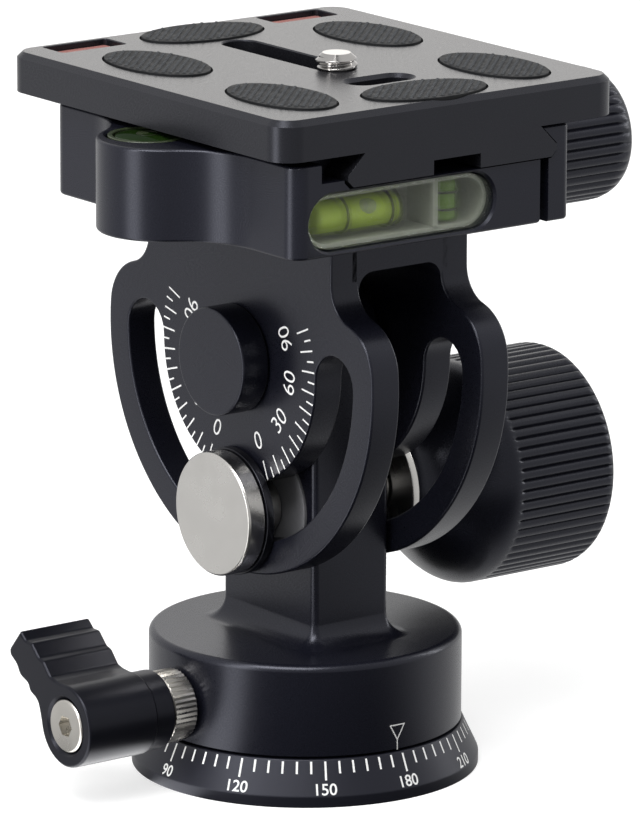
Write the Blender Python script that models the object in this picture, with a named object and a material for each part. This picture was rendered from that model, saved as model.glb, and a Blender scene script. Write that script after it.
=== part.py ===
"""Monopod tilt head: a panning base, a lockable tilting yoke and a dovetail plate clamp.

Metres, +Z up. The origin is the centre of the base's underside. The tilt axis runs along Y,
the printed arm faces -Y, the vials face +X, and the large tilt knob is on the +Y side.
"""
import math

import bmesh
import bpy
from mathutils import Vector

# Clearances shared by all pieces
GAP = 0.0003
OVERRUN = 0.002
MERGE = 0.000001

# Facets of round forms
WIDE_STEPS = 38
ROUND_STEPS = 24
SMALL_STEPS = 18
EDGE_STEPS = 3
ARC_STEPS = 5

# Scale ring and its thread
RING_RADIUS = 0.02674
RING_TOP_RADIUS = 0.0243
RING_LIP = 0.0017
RING_HEIGHT = 0.0069
THREAD_RADIUS = 0.0047625
BUSHING_WALL = 0.0013
BUSHING_LENGTH = 0.0104
FLANGE_RADIUS = 0.0140
FLANGE_HEIGHT = 0.0023
PAN_WASHER_INNER = 0.0150
PAN_WASHER_OUTER = 0.0208
PAN_WASHER_THICKNESS = 0.0009

# Spindle that the housing turns on
SPINDLE_RADIUS = 0.0110
SPINDLE_HEIGHT = 0.0186
GROOVE_DEPTH = 0.0016
GROOVE_HALF_WIDTH = 0.0021

# Pan housing with its stem
HOUSING_RADIUS = 0.02408
HOUSING_HEIGHT = 0.0143
HOUSING_ROUND = 0.0011
LOCK_HEIGHT = 0.01292
STEM_WIDTH = 0.02334
STEM_THICKNESS = 0.01434
STEM_CORNER = 0.0010
STEM_FOOT = 0.0036
STEM_BOSS = 0.0102
SHOULDER_DROP = 0.0072
RETAINER_RADIUS = 0.0020
RETAINER_ANGLE = 25.0

# Pan lock lever
LEVER_HUB_RADIUS = 0.00608
LEVER_HUB_START = 0.02907
LEVER_HUB_LENGTH = 0.01619
BLADE_WIDTH = 0.01285
BLADE_REACH = 0.0147
BLADE_RISE = 0.0123
BLADE_ROUND = 0.0064
BLADE_EDGE = 0.0004
STUD_RADIUS = 0.0039
STUD_COLLAR = 0.0056
STUD_SEAT = 0.0050
LEVER_SCREW_HEAD = 0.00415
LEVER_SCREW_SHANK = 0.0021
LEVER_SCREW_TAPER = 0.0021
LEVER_SCREW_LENGTH = 0.0104
HEX_RADIUS = 0.0017
HEX_DEPTH = 0.0019
SHOE_LENGTH = 0.0068
SHOE_TIP = 0.0004

# Tilt axis and yoke
TILT_HEIGHT = 0.06551
ARM_RADIUS = 0.0334
ARM_OUTER = 0.01296
ARM_INNER = 0.00775
ARM_EDGE = 0.0004
NECK_HALF_WIDTH = 0.0232
NECK_FILLET = 0.0055
NECK_FILLET_RISE = 0.0153
SHOULDER_ROUND = 0.0080
YOKE_RISE = 0.02254
POCKET_RISE = 0.0165
POCKET_CORNER = 0.0027
AXLE_RADIUS = 0.0050
BUSH_WALL = 0.0012
CAP_RADIUS = 0.00831
CAP_LENGTH = 0.00486
REAR_CAP_LENGTH = 0.0026
CAP_EDGE = 0.0004

# Tilt lock through the arc slots
BOLT_DROP = 0.02385
SLOT_HALF_WIDTH = 0.00455
SLEEVE_RADIUS = 0.0042
BOLT_RADIUS = 0.0030
BOLT_LENGTH = 0.0495
DISC_RADIUS = 0.00952
DISC_THICKNESS = 0.00297
DISC_EDGE = 0.0004
WASHER_RADIUS = 0.0098
WASHER_THICKNESS = 0.0013
FRICTION_RADIUS = 0.0095
FRICTION_THICKNESS = 0.0007

# Tilt knob
KNOB_RADIUS = 0.01768
KNOB_NECK_RADIUS = 0.0097
KNOB_FLARE_LENGTH = 0.0134
KNOB_FLARE_LEAN_SHARE = 1.1
KNOB_LENGTH = 0.0323
KNOB_RIM = 0.0010
KNOB_RIBS = 36
KNOB_RIB_DEPTH = 0.0005
KNOB_CAP_RADIUS = 0.0115
KNOB_CAP_THICKNESS = 0.0016
INSERT_WALL = 0.0026

# Plate clamp
CLAMP_LENGTH = 0.0610
CLAMP_CENTRE_X = 0.0040
CLAMP_FRONT = 0.0283
CLAMP_BACK = 0.0176
CLAMP_HEIGHT = 0.01405
CLAMP_FLOOR = 0.00975
CLAMP_CORNER = 0.0027
CLAMP_EDGE = 0.0005
LUG_RADIUS = 0.0100
LUG_OFFSET = 0.0015
LUG_FILLET = 0.0130
RELIEF_DEPTH = 0.0050
RELIEF_WIDTH = 0.0042
RELIEF_HEIGHT = 0.0029
JAW_GAP = 0.0016
JAW_THICKNESS = 0.0041
JAW_HEIGHT = 0.01465
JAW_CORNER = 0.0012
JAW_LUG_REACH = 0.0077
JAW_LUG_FILLET = 0.0060
CLAMP_SCREW_RISE = 0.00475
CLAMP_SCREW_RADIUS = 0.0030
CLAMP_SCREW_DEPTH = 0.0231
GUIDE_PIN_RADIUS = 0.0015
GUIDE_PIN_SPACING = 0.0090
GUIDE_PIN_LENGTH = 0.0158
GUIDE_PIN_REACH = 0.0050
SPRING_RADIUS = 0.0047
SPRING_WIRE = 0.00045
SPRING_LENGTH = 0.0060
SPRING_TURNS = 4
THRUST_WASHER_RADIUS = 0.0062
THRUST_WASHER_THICKNESS = 0.0008

# Plate clamp knob
CLAMP_KNOB_RADIUS = 0.0105
CLAMP_KNOB_LENGTH = 0.0207
CLAMP_KNOB_ROUND = 0.0036
CLAMP_KNOB_RIM_RADIUS = 0.00867
CLAMP_KNOB_COLLAR = 0.0078
CLAMP_KNOB_COLLAR_LENGTH = 0.0020
CLAMP_KNOB_RIBS = 26
CLAMP_KNOB_RIB_DEPTH = 0.0009
CLAMP_KNOB_CAP_RADIUS = 0.0062
CLAMP_KNOB_CAP_THICKNESS = 0.0012

# Yoke screws
YOKE_SCREW_RADIUS = 0.0020
YOKE_SCREW_SPACING = 0.0120
YOKE_SCREW_LENGTH = 0.0112
YOKE_SCREW_HEAD = 0.0035
YOKE_SCREW_HEAD_HEIGHT = 0.0022

# Spirit levels
WINDOW_HALF_HEIGHT = 0.00435
WINDOW_HALF_LENGTH = 0.01725
WINDOW_CENTRE_Y = -0.00825
WINDOW_DEPTH = 0.0088
WINDOW_SILL = 0.0004
LENS_THICKNESS = 0.0011
HOLDER_THICKNESS = 0.0006
DIVIDER_Y = -0.00135
DIVIDER_THICKNESS = 0.0013
LONG_VIAL_RADIUS = 0.0029
LONG_VIAL_LENGTH = 0.0165
LONG_VIAL_CENTRE_Y = -0.01465
SHORT_VIAL_RADIUS = 0.0026
SHORT_VIAL_HEIGHT = 0.0070
SHORT_VIAL_CENTRE_Y = 0.0024
BULLSEYE_X = 0.0015
BULLSEYE_Y = -0.0308
BULLSEYE_RADIUS = 0.0060
BULLSEYE_WALL = 0.0008
BULLSEYE_HEIGHT = 0.0034
BULLSEYE_BASE = 0.0008
BULLSEYE_CROWN = 0.0003

# Camera plate
PLATE_LENGTH = 0.0700
PLATE_WIDTH = 0.0633
PLATE_CENTRE_Y = 0.00078
PLATE_THICKNESS = 0.00616
PLATE_CORNER = 0.0040
PLATE_EDGE = 0.00054
DOVETAIL_HEIGHT = 0.0049
DOVETAIL_NECK = 0.01648
DOVETAIL_FLARE = 0.0196
DOVETAIL_CORNER = 0.0010
NOTCH_HALF_WIDTH = 0.0044
NOTCH_SHIFT = 0.0007
NOTCH_HEIGHT = 0.0022
SCREW_SLOT_MARGIN = 0.0144
SCREW_SLOT_HALF_WIDTH = 0.0030
SCREW_END_MARGIN = 0.0287
OVAL_MARGIN = 0.0157
OVAL_RADIUS = 0.0025
OVAL_HALF_STRAIGHT = 0.0031
OVAL_SINK = 0.0006
HEAD_RECESS_HALF_WIDTH = 0.0086
HEAD_RECESS_HEIGHT = 0.0044
HEAD_RECESS_CORNER = 0.0006
PAD_HALF_LENGTH = 0.0108
PAD_HALF_WIDTH = 0.0063
PAD_DEPTH = 0.0010
PAD_PROUD = 0.0005
PAD_END_MARGIN = 0.0009
PAD_SIDE_MARGIN = 0.00535
PAD_LEFT_MARGIN = 0.0122
PAD_RIGHT_MARGIN = 0.00495
PAD_SPACING = 0.00965
INSERT_END_MARGIN = 0.0020
INSERT_SIDE_MARGIN = 0.0057
INSERT_HALF_X = 0.0025
INSERT_HALF_Y = 0.00565
INSERT_POCKET = 0.0022
INSERT_THICKNESS = 0.0010
INSERT_CORNER = 0.0006

# Camera screw
CAMERA_SCREW_RADIUS = 0.003175
CAMERA_SCREW_NECK = 0.0025
CAMERA_SCREW_PROUD = 0.00244
CAMERA_SCREW_CHAMFER = 0.0004
CAMERA_SCREW_HEAD = 0.0073
CAMERA_SCREW_HEAD_HEIGHT = 0.0024
RETAINER_LENGTH = 0.0130
RETAINER_WIDTH = 0.0160
RETAINER_THICKNESS = 0.0008

# Heights and places that follow from the sizes above
HOUSING_BOTTOM = RING_HEIGHT + GAP
HOUSING_TOP = HOUSING_BOTTOM + HOUSING_HEIGHT
SPINDLE_BORE = SPINDLE_RADIUS + GAP
BOLT_HEIGHT = TILT_HEIGHT - BOLT_DROP
YOKE_TOP = TILT_HEIGHT + YOKE_RISE
POCKET_TOP = TILT_HEIGHT + POCKET_RISE
CLAMP_BOTTOM = YOKE_TOP + GAP
CLAMP_TOP = CLAMP_BOTTOM + CLAMP_HEIGHT
CHANNEL_FLOOR = CLAMP_BOTTOM + CLAMP_FLOOR
DOVETAIL_BOTTOM = CHANNEL_FLOOR + GAP
PLATE_BOTTOM = DOVETAIL_BOTTOM + DOVETAIL_HEIGHT
PLATE_TOP = PLATE_BOTTOM + PLATE_THICKNESS
CLAMP_SCREW_HEIGHT = CLAMP_BOTTOM + CLAMP_SCREW_RISE
CLAMP_END = CLAMP_CENTRE_X + CLAMP_LENGTH / 2
CLAMP_START = CLAMP_CENTRE_X - CLAMP_LENGTH / 2
JAW_INNER = CLAMP_BACK + JAW_GAP
JAW_OUTER = JAW_INNER + JAW_THICKNESS
JAW_LUG_FACE = JAW_OUTER + JAW_LUG_REACH
STEM_HALF = STEM_THICKNESS / 2
FRICTION_OUTER = ARM_INNER - GAP
FRICTION_INNER = FRICTION_OUTER - FRICTION_THICKNESS
WASHER_START = ARM_OUTER + GAP
KNOB_START = WASHER_START + WASHER_THICKNESS + GAP
DISC_START = WASHER_START + WASHER_THICKNESS + GAP
LEVER_FACE = LEVER_HUB_START + LEVER_HUB_LENGTH
CLAMP_KNOB_START = JAW_LUG_FACE + GAP + THRUST_WASHER_THICKNESS + GAP
HOLDER_START = CLAMP_END - WINDOW_DEPTH + GAP
VIAL_AXIS_X = HOLDER_START + HOLDER_THICKNESS + GAP + LONG_VIAL_RADIUS
WINDOW_HEIGHT = CHANNEL_FLOOR - WINDOW_SILL - WINDOW_HALF_HEIGHT
PLATE_END = PLATE_LENGTH / 2
PLATE_SIDE = PLATE_WIDTH / 2
SCREW_SLOT_START = SCREW_SLOT_MARGIN - PLATE_END
SCREW_X = PLATE_END - SCREW_END_MARGIN
OVAL_X = PLATE_END - OVAL_MARGIN - OVAL_RADIUS
PAD_END_X = PLATE_END - PAD_END_MARGIN - PAD_HALF_WIDTH
PAD_SIDE_Y = PLATE_SIDE - PAD_SIDE_MARGIN - PAD_HALF_WIDTH
PAD_SIDE_HALF_LENGTH = (PLATE_LENGTH - PAD_LEFT_MARGIN - PAD_SPACING - PAD_RIGHT_MARGIN) / 4
PAD_LEFT_X = PAD_LEFT_MARGIN + PAD_SIDE_HALF_LENGTH - PLATE_END
PAD_RIGHT_X = PLATE_END - PAD_RIGHT_MARGIN - PAD_SIDE_HALF_LENGTH
INSERT_X = INSERT_END_MARGIN + INSERT_HALF_X - PLATE_END
INSERT_Y = PLATE_SIDE - INSERT_SIDE_MARGIN - INSERT_HALF_Y

# Outline of the lever's blade, as shares of its reach and rise from the hub's centre
BLADE_UPPER_SHARES = (
    (-1.00, 0.72), (-0.80, 1.00), (-0.70, 0.895), (-0.60, 0.895), (-0.47, 0.74),
    (-0.39, 0.715), (-0.27, 0.555), (-0.19, 0.53), (-0.06, 0.505),
)
BLADE_LOWER_SHARES = (
    (-0.42, -0.12), (-0.46, 0.05), (-0.50, 0.19), (-0.64, 0.27), (-0.67, 0.36),
    (-0.82, 0.43), (-0.87, 0.55), (-0.985, 0.64),
)


def clear_scene():
    """Start from an empty scene."""
    for old in list(bpy.data.objects):
        bpy.data.objects.remove(old, do_unlink=True)


def finish(name, colour, roughness, metallic, alpha=1.0):
    """A Principled material."""
    made = bpy.data.materials.new(name)
    made.use_nodes = True
    shader = made.node_tree.nodes["Principled BSDF"]
    shader.inputs["Base Color"].default_value = (*colour, 1.0)
    shader.inputs["Roughness"].default_value = roughness
    shader.inputs["Metallic"].default_value = metallic
    shader.inputs["Alpha"].default_value = alpha
    made.diffuse_color = (*colour, alpha)
    return made


def arc(centre, radius, start, end, steps=ARC_STEPS):
    """Points along an arc, angles in degrees."""
    turn = (end - start) / steps
    angles = [math.radians(start + turn * i) for i in range(steps + 1)]
    return [(centre[0] + radius * math.cos(a), centre[1] + radius * math.sin(a)) for a in angles]


def circle(centre, radius, steps):
    """Points round a whole circle."""
    return arc(centre, radius, 0, 360, steps)[:-1]


def rounded_box(low, high, corner, steps=ARC_STEPS // 2):
    """A rectangle with round corners, between two opposite corner points."""
    left, bottom = low[0] + corner, low[1] + corner
    right, top = high[0] - corner, high[1] - corner
    return (arc((right, top), corner, 0, 90, steps) + arc((left, top), corner, 90, 180, steps)
            + arc((left, bottom), corner, 180, 270, steps) + arc((right, bottom), corner, 270, 360, steps))


def stadium(centre, half_length, radius, along_u=True):
    """A slot outline; half_length is from its centre to the far end of a round end."""
    reach = half_length - radius
    if along_u:
        ends = ((centre[0] + reach, centre[1]), (centre[0] - reach, centre[1]))
        return arc(ends[0], radius, -90, 90, 2 * ARC_STEPS) + arc(ends[1], radius, 90, 270, 2 * ARC_STEPS)
    ends = ((centre[0], centre[1] + reach), (centre[0], centre[1] - reach))
    return arc(ends[0], radius, 0, 180, 2 * ARC_STEPS) + arc(ends[1], radius, 180, 360, 2 * ARC_STEPS)


def ellipse(centre, half_u, half_v, steps=SMALL_STEPS):
    """Points round an ellipse."""
    return [(centre[0] + half_u * u, centre[1] + half_v * v) for u, v in circle((0, 0), 1, steps)]


def spread(u, v, w, axis):
    """An outline point (u, v) at w along the axis: X takes (y, z), Y takes (x, z), Z takes (x, y)."""
    if axis == "X":
        return (w, u, v)
    if axis == "Y":
        return (u, w, v)
    return (u, v, w)


def solid(bm, name="piece"):
    """Turn a bmesh into an object with its faces pointing out."""
    bmesh.ops.remove_doubles(bm, verts=bm.verts, dist=MERGE)
    bmesh.ops.recalc_face_normals(bm, faces=bm.faces)
    mesh = bpy.data.meshes.new(name)
    bm.to_mesh(mesh)
    bm.free()
    made = bpy.data.objects.new(name, mesh)
    bpy.context.scene.collection.objects.link(made)
    return made


def prism(outline, axis, start, end, edge=0.0, rounds=1, both=True):
    """An outline extruded along an axis, its end edges broken by a small bevel."""
    bm = bmesh.new()
    face = bm.faces.new([bm.verts.new(spread(u, v, start, axis)) for u, v in outline])
    moved = bmesh.ops.extrude_face_region(bm, geom=[face])["geom"]
    far = [item for item in moved if isinstance(item, bmesh.types.BMVert)]
    bmesh.ops.translate(bm, verts=far, vec=spread(0, 0, end - start, axis))
    if edge:
        bmesh.ops.recalc_face_normals(bm, faces=bm.faces)
        near = set(face.verts)
        rims = [e for e in bm.edges if set(e.verts) <= set(far) or (both and set(e.verts) <= near)]
        bmesh.ops.bevel(bm, geom=rims, offset=edge, segments=rounds, profile=0.5, affect="EDGES")
    return solid(bm)


def loft(sections):
    """Rings of equal point count joined in order, closed at both ends."""
    bm = bmesh.new()
    rings = [[bm.verts.new(point) for point in section] for section in sections]
    for low, high in zip(rings, rings[1:]):
        for i in range(len(low)):
            j = (i + 1) % len(low)
            bm.faces.new((low[i], low[j], high[j], high[i]))
    bm.faces.new(rings[0])
    bm.faces.new(rings[-1])
    return solid(bm)


def turned(profile, centre=(0, 0, 0), direction=(0, 0, 1), steps=SMALL_STEPS):
    """A (radius, height) profile turned about an axis through centre along direction."""
    bm = bmesh.new()
    points = [bm.verts.new((radius, 0, height)) for radius, height in profile]
    edges = [bm.edges.new(pair) for pair in zip(points, points[1:])]
    if profile[0][0] > 0:
        edges.append(bm.edges.new((points[-1], points[0])))
    bmesh.ops.spin(bm, geom=points + edges, cent=(0, 0, 0), axis=(0, 0, 1),
                   angle=math.tau, steps=steps, use_merge=True)
    aim = Vector((0, 0, 1)).rotation_difference(Vector(direction)).to_matrix()
    bmesh.ops.remove_doubles(bm, verts=bm.verts, dist=MERGE)
    bmesh.ops.rotate(bm, verts=bm.verts, cent=(0, 0, 0), matrix=aim)
    bmesh.ops.translate(bm, verts=bm.verts, vec=centre)
    return solid(bm)


def rod(radius, start, end, centre=(0, 0, 0), direction=(0, 0, 1), steps=SMALL_STEPS):
    """A plain cylinder between two heights along an axis."""
    return turned([(0, start), (radius, start), (radius, end), (0, end)], centre, direction, steps)


def tube(outer, inner, start, end, centre=(0, 0, 0), direction=(0, 0, 1), steps=SMALL_STEPS):
    """A plain sleeve between two heights along an axis."""
    profile = [(outer, start), (outer, end), (inner, end), (inner, start)]
    return turned(profile, centre, direction, steps)


def combine(target, others, operation):
    """Apply Boolean operations to an object and remove the shapes used up."""
    for other in others:
        other.hide_render = True
        other.display_type = "WIRE"
        step = target.modifiers.new(operation.title(), "BOOLEAN")
        step.operation = operation
        step.solver = "EXACT"
        step.object = other
    bpy.context.view_layer.update()
    seen = target.evaluated_get(bpy.context.evaluated_depsgraph_get())
    result = bpy.data.meshes.new_from_object(seen)
    target.modifiers.clear()
    target.data = result
    for other in others:
        bpy.data.objects.remove(other, do_unlink=True)
    return target


def cut(target, *cutters):
    """Take shapes out of an object."""
    return combine(target, cutters, "DIFFERENCE")


def join(target, *others):
    """Fuse shapes onto an object."""
    return combine(target, others, "UNION")


def empty(name, place, parent=None):
    """A joint's frame: an empty on the joint's axis."""
    made = bpy.data.objects.new(name, None)
    bpy.context.scene.collection.objects.link(made)
    made["place"] = place
    made.location = Vector(place) - Vector(parent["place"]) if parent else place
    made.parent = parent
    return made


def piece(name, made, material, rig):
    """Name a finished solid, give it its material and hang it on its joint's frame."""
    made.name = name
    made.data.name = name
    for vertex in made.data.vertices:
        vertex.co = vertex.co - Vector(rig["place"])
    made.data.materials.clear()
    made.data.materials.append(material)
    for face in made.data.polygons:
        face.material_index = 0
    made.data.shade_smooth()
    made.data.set_sharp_from_angle(angle=math.radians(30))
    made.parent = rig
    return made


def ribbed(rows, ribs, centre, direction):
    """A ribbed turned form; each row is (height, radius over the ribs, rib depth)."""
    aim = Vector((0, 0, 1)).rotation_difference(Vector(direction)).to_matrix()
    sections = []
    for height, radius, depth in rows:
        ring = []
        for i in range(2 * ribs):
            angle = math.pi * i / ribs
            reach = radius - depth * (i % 2)
            point = Vector((reach * math.cos(angle), reach * math.sin(angle), height))
            ring.append(aim @ point + Vector(centre))
        sections.append(ring)
    return loft(sections)


# Base

def scale_ring():
    """The graduated ring that the monopod screws against."""
    recess = FLANGE_RADIUS + GAP
    ledge = FLANGE_HEIGHT + GAP
    pocket = RING_HEIGHT - PAN_WASHER_THICKNESS
    profile = [
        (RING_RADIUS, 0), (RING_RADIUS, RING_LIP), (RING_TOP_RADIUS, RING_HEIGHT),
        (PAN_WASHER_OUTER + GAP, RING_HEIGHT), (PAN_WASHER_OUTER + GAP, pocket),
        (PAN_WASHER_INNER - GAP, pocket), (PAN_WASHER_INNER - GAP, RING_HEIGHT),
        (SPINDLE_BORE, RING_HEIGHT), (SPINDLE_BORE, ledge), (recess, ledge), (recess, 0),
    ]
    return turned(profile, steps=WIDE_STEPS)


def pan_washer():
    """The low-friction ring under the housing."""
    start = RING_HEIGHT - PAN_WASHER_THICKNESS + GAP
    return tube(PAN_WASHER_OUTER, PAN_WASHER_INNER, start, RING_HEIGHT, steps=ROUND_STEPS)


def pan_spindle():
    """The flanged post with the V-groove that the shoe presses into."""
    well = THREAD_RADIUS + BUSHING_WALL + GAP
    profile = [
        (0, BUSHING_LENGTH + GAP), (well, BUSHING_LENGTH + GAP), (well, 0), (FLANGE_RADIUS, 0),
        (FLANGE_RADIUS, FLANGE_HEIGHT), (SPINDLE_RADIUS, FLANGE_HEIGHT),
        (SPINDLE_RADIUS, LOCK_HEIGHT - GROOVE_HALF_WIDTH), (SPINDLE_RADIUS - GROOVE_DEPTH, LOCK_HEIGHT),
        (SPINDLE_RADIUS, LOCK_HEIGHT + GROOVE_HALF_WIDTH), (SPINDLE_RADIUS, SPINDLE_HEIGHT),
        (0, SPINDLE_HEIGHT),
    ]
    return turned(profile, steps=ROUND_STEPS)


def thread_bushing():
    """The hard sleeve that carries the mounting thread."""
    return tube(THREAD_RADIUS + BUSHING_WALL, THREAD_RADIUS, 0, BUSHING_LENGTH, steps=ROUND_STEPS)


# Pan head

def stem_outline():
    """The stem seen from the front: straight sides, sloping shoulders and a round boss."""
    half = STEM_WIDTH / 2
    foot = HOUSING_TOP - HOUSING_ROUND
    shoulder = TILT_HEIGHT - SHOULDER_DROP
    reach = math.hypot(half, SHOULDER_DROP)
    lean = math.degrees(math.atan2(-SHOULDER_DROP, half))
    start = lean + math.degrees(math.acos(STEM_BOSS / reach))
    boss = arc((0, TILT_HEIGHT), STEM_BOSS, start, 180 - start, 2 * ARC_STEPS)
    return [(half, foot), (half, shoulder)] + boss + [(-half, shoulder), (-half, foot)]


def stem_foot():
    """The hollow curve that spreads the stem onto the housing."""
    sections = []
    for i in range(ARC_STEPS + 1):
        angle = math.radians(90 * i / ARC_STEPS)
        spread_out = STEM_FOOT * (1 - math.sin(angle)) - MERGE * i
        height = HOUSING_TOP + STEM_FOOT * (1 - math.cos(angle))
        half_u = STEM_WIDTH / 2 + spread_out
        half_v = STEM_HALF + spread_out
        ring = rounded_box((-half_u, -half_v), (half_u, half_v), STEM_CORNER + spread_out)
        sections.append([(u, v, height) for u, v in ring])
    base = [(u, v, HOUSING_TOP - HOUSING_ROUND) for u, v, height in sections[0]]
    return loft([base] + sections)


def retainer_direction(side):
    """Where a retaining screw points, either side of the back of the housing."""
    angle = math.radians(90 + side * RETAINER_ANGLE)
    return (math.cos(angle), math.sin(angle), 0)


def pan_housing():
    """The turning housing and stem in one piece, bored for the spindle, lock and bolt."""
    bore_top = SPINDLE_HEIGHT + GAP
    rim = arc((HOUSING_RADIUS - HOUSING_ROUND, HOUSING_TOP - HOUSING_ROUND), HOUSING_ROUND, 0, 90, EDGE_STEPS)
    profile = [(0, bore_top), (SPINDLE_BORE, bore_top), (SPINDLE_BORE, HOUSING_BOTTOM),
               (HOUSING_RADIUS, HOUSING_BOTTOM)] + rim + [(0, HOUSING_TOP)]
    drum = turned(profile, steps=WIDE_STEPS)
    stem = prism(stem_outline(), "Y", -STEM_HALF, STEM_HALF, STEM_CORNER, 2)
    body = join(drum, stem, stem_foot())
    stem_end = STEM_HALF + OVERRUN
    washer_seat = FRICTION_INNER - GAP
    seat_room, bolt_room = FRICTION_RADIUS + GAP, BOLT_RADIUS + GAP
    bolt_bore = [(0, -stem_end), (seat_room, -stem_end), (seat_room, -washer_seat), (bolt_room, -washer_seat),
                 (bolt_room, washer_seat), (seat_room, washer_seat), (seat_room, stem_end), (0, stem_end)]
    tilt_centre = (0, 0, TILT_HEIGHT)
    bolt_centre = (0, 0, BOLT_HEIGHT)
    lock_centre = (0, 0, LOCK_HEIGHT)
    bush = AXLE_RADIUS + GAP + BUSH_WALL + GAP
    cutters = [
        rod(bush, -stem_end, stem_end, tilt_centre, (0, 1, 0)),
        turned(bolt_bore, bolt_centre, (0, 1, 0), ROUND_STEPS),
        rod(STUD_RADIUS + GAP, SPINDLE_RADIUS, HOUSING_RADIUS + OVERRUN, lock_centre, (0, -1, 0)),
    ]
    for side in (-1, 1):
        cutters.append(rod(RETAINER_RADIUS + GAP, SPINDLE_RADIUS, HOUSING_RADIUS + OVERRUN,
                           lock_centre, retainer_direction(side)))
    return cut(body, *cutters)


def retaining_screw(side):
    """A grub screw whose point runs in the spindle's groove."""
    tip = SPINDLE_RADIUS - GROOVE_DEPTH / 2
    profile = [(0, tip), (RETAINER_RADIUS, tip + RETAINER_RADIUS * 2),
               (RETAINER_RADIUS, HOUSING_RADIUS - HOUSING_ROUND), (0, HOUSING_RADIUS - HOUSING_ROUND)]
    return turned(profile, (0, 0, LOCK_HEIGHT), retainer_direction(side))


def pivot_bush():
    """The plain bearing in the top of the stem."""
    inner = AXLE_RADIUS + GAP
    return tube(inner + BUSH_WALL, inner, -STEM_HALF, STEM_HALF, (0, 0, TILT_HEIGHT), (0, 1, 0))


def tilt_bolt():
    """The disc-headed bolt through both arms."""
    start = DISC_START
    end = start + DISC_THICKNESS
    far = start - BOLT_LENGTH
    profile = [(0, end), (DISC_RADIUS - DISC_EDGE, end), (DISC_RADIUS, end - DISC_EDGE),
               (DISC_RADIUS, start), (BOLT_RADIUS, start), (BOLT_RADIUS, far), (0, far)]
    return turned(profile, (0, 0, BOLT_HEIGHT), (0, -1, 0), ROUND_STEPS)


def bolt_washer():
    """The black washer under the bolt's head."""
    return tube(WASHER_RADIUS, BOLT_RADIUS + GAP, WASHER_START, WASHER_START + WASHER_THICKNESS,
                (0, 0, BOLT_HEIGHT), (0, -1, 0), ROUND_STEPS)


def friction_washer(direction):
    """The brake washer between the stem and an arm."""
    return tube(FRICTION_RADIUS, BOLT_RADIUS + GAP, FRICTION_INNER, FRICTION_OUTER,
                (0, 0, BOLT_HEIGHT), direction, ROUND_STEPS)


def slot_sleeve(direction):
    """The sleeve that guides an arm's slot along the bolt."""
    return tube(SLEEVE_RADIUS, BOLT_RADIUS + GAP, ARM_INNER, ARM_OUTER,
                (0, 0, BOLT_HEIGHT), direction)


# Pan lock

def blade_outline():
    """The lever's side view: thumb steps above, scallops below, and the round of the hub."""
    scale_u, scale_v = BLADE_REACH, BLADE_RISE
    upper = [(u * scale_u, v * scale_v) for u, v in BLADE_UPPER_SHARES]
    lower = [(u * scale_u, v * scale_v) for u, v in BLADE_LOWER_SHARES]
    start = math.degrees(math.atan2(upper[-1][1], upper[-1][0]))
    end = math.degrees(math.atan2(lower[0][1], lower[0][0]))
    round_part = arc((0, 0), BLADE_ROUND, start, end, 3 * ARC_STEPS)
    return [(u, v + LOCK_HEIGHT) for u, v in upper[:-1] + round_part + lower[1:]]


def pan_lock_lever():
    """The lever: a round hub with a stepped blade across its outer end."""
    axis = (0, 0, LOCK_HEIGHT)
    overlap = LEVER_FACE - BLADE_WIDTH / 2
    hub = rod(LEVER_HUB_RADIUS, LEVER_HUB_START, overlap, axis, (0, -1, 0), ROUND_STEPS)
    blade = prism(blade_outline(), "Y", -LEVER_FACE, -LEVER_FACE + BLADE_WIDTH, BLADE_EDGE)
    body = join(blade, hub)
    seat = LEVER_HUB_START + STUD_SEAT + GAP
    sink = LEVER_FACE - LEVER_SCREW_TAPER - GAP
    stud_bore, screw_bore, head_bore = STUD_RADIUS + GAP, LEVER_SCREW_SHANK + GAP, LEVER_SCREW_HEAD + GAP
    profile = [(0, LEVER_HUB_START - OVERRUN), (stud_bore, LEVER_HUB_START - OVERRUN), (stud_bore, seat),
               (screw_bore, seat), (screw_bore, sink), (head_bore, LEVER_FACE - GAP),
               (head_bore, LEVER_FACE + OVERRUN), (0, LEVER_FACE + OVERRUN)]
    return cut(body, turned(profile, axis, (0, -1, 0)))


def lever_screw():
    """The countersunk screw that holds the lever on its stud."""
    axis = (0, 0, LOCK_HEIGHT)
    sink = LEVER_FACE - LEVER_SCREW_TAPER
    far = LEVER_FACE - LEVER_SCREW_LENGTH
    profile = [(0, LEVER_FACE), (LEVER_SCREW_HEAD, LEVER_FACE), (LEVER_SCREW_HEAD, LEVER_FACE - GAP),
               (LEVER_SCREW_SHANK, sink), (LEVER_SCREW_SHANK, far), (0, far)]
    body = turned(profile, axis, (0, -1, 0))
    key = prism(circle((0, LOCK_HEIGHT), HEX_RADIUS, 6), "Y", -LEVER_FACE - OVERRUN, -LEVER_FACE + HEX_DEPTH)
    return cut(body, key)


def lock_stud():
    """The threaded stud with its knurled collar."""
    near = SPINDLE_RADIUS - GROOVE_DEPTH / 2 + SHOE_LENGTH + GAP
    collar_start = HOUSING_RADIUS + GAP
    collar_end = LEVER_HUB_START - GAP
    far = LEVER_HUB_START + STUD_SEAT
    profile = [(0, far), (STUD_RADIUS, far), (STUD_RADIUS, collar_end), (STUD_COLLAR, collar_end),
               (STUD_COLLAR, collar_start), (STUD_RADIUS, collar_start), (STUD_RADIUS, near), (0, near)]
    return turned(profile, (0, 0, LOCK_HEIGHT), (0, -1, 0))


def lock_shoe():
    """The soft metal shoe that pinches the spindle's groove."""
    tip = SPINDLE_RADIUS - GROOVE_DEPTH / 2
    shoulder = tip + (STUD_RADIUS - SHOE_TIP)
    profile = [(0, tip + SHOE_LENGTH), (STUD_RADIUS, tip + SHOE_LENGTH), (STUD_RADIUS, shoulder),
               (SHOE_TIP, tip), (0, tip)]
    return turned(profile, (0, 0, LOCK_HEIGHT), (0, -1, 0))


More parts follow.
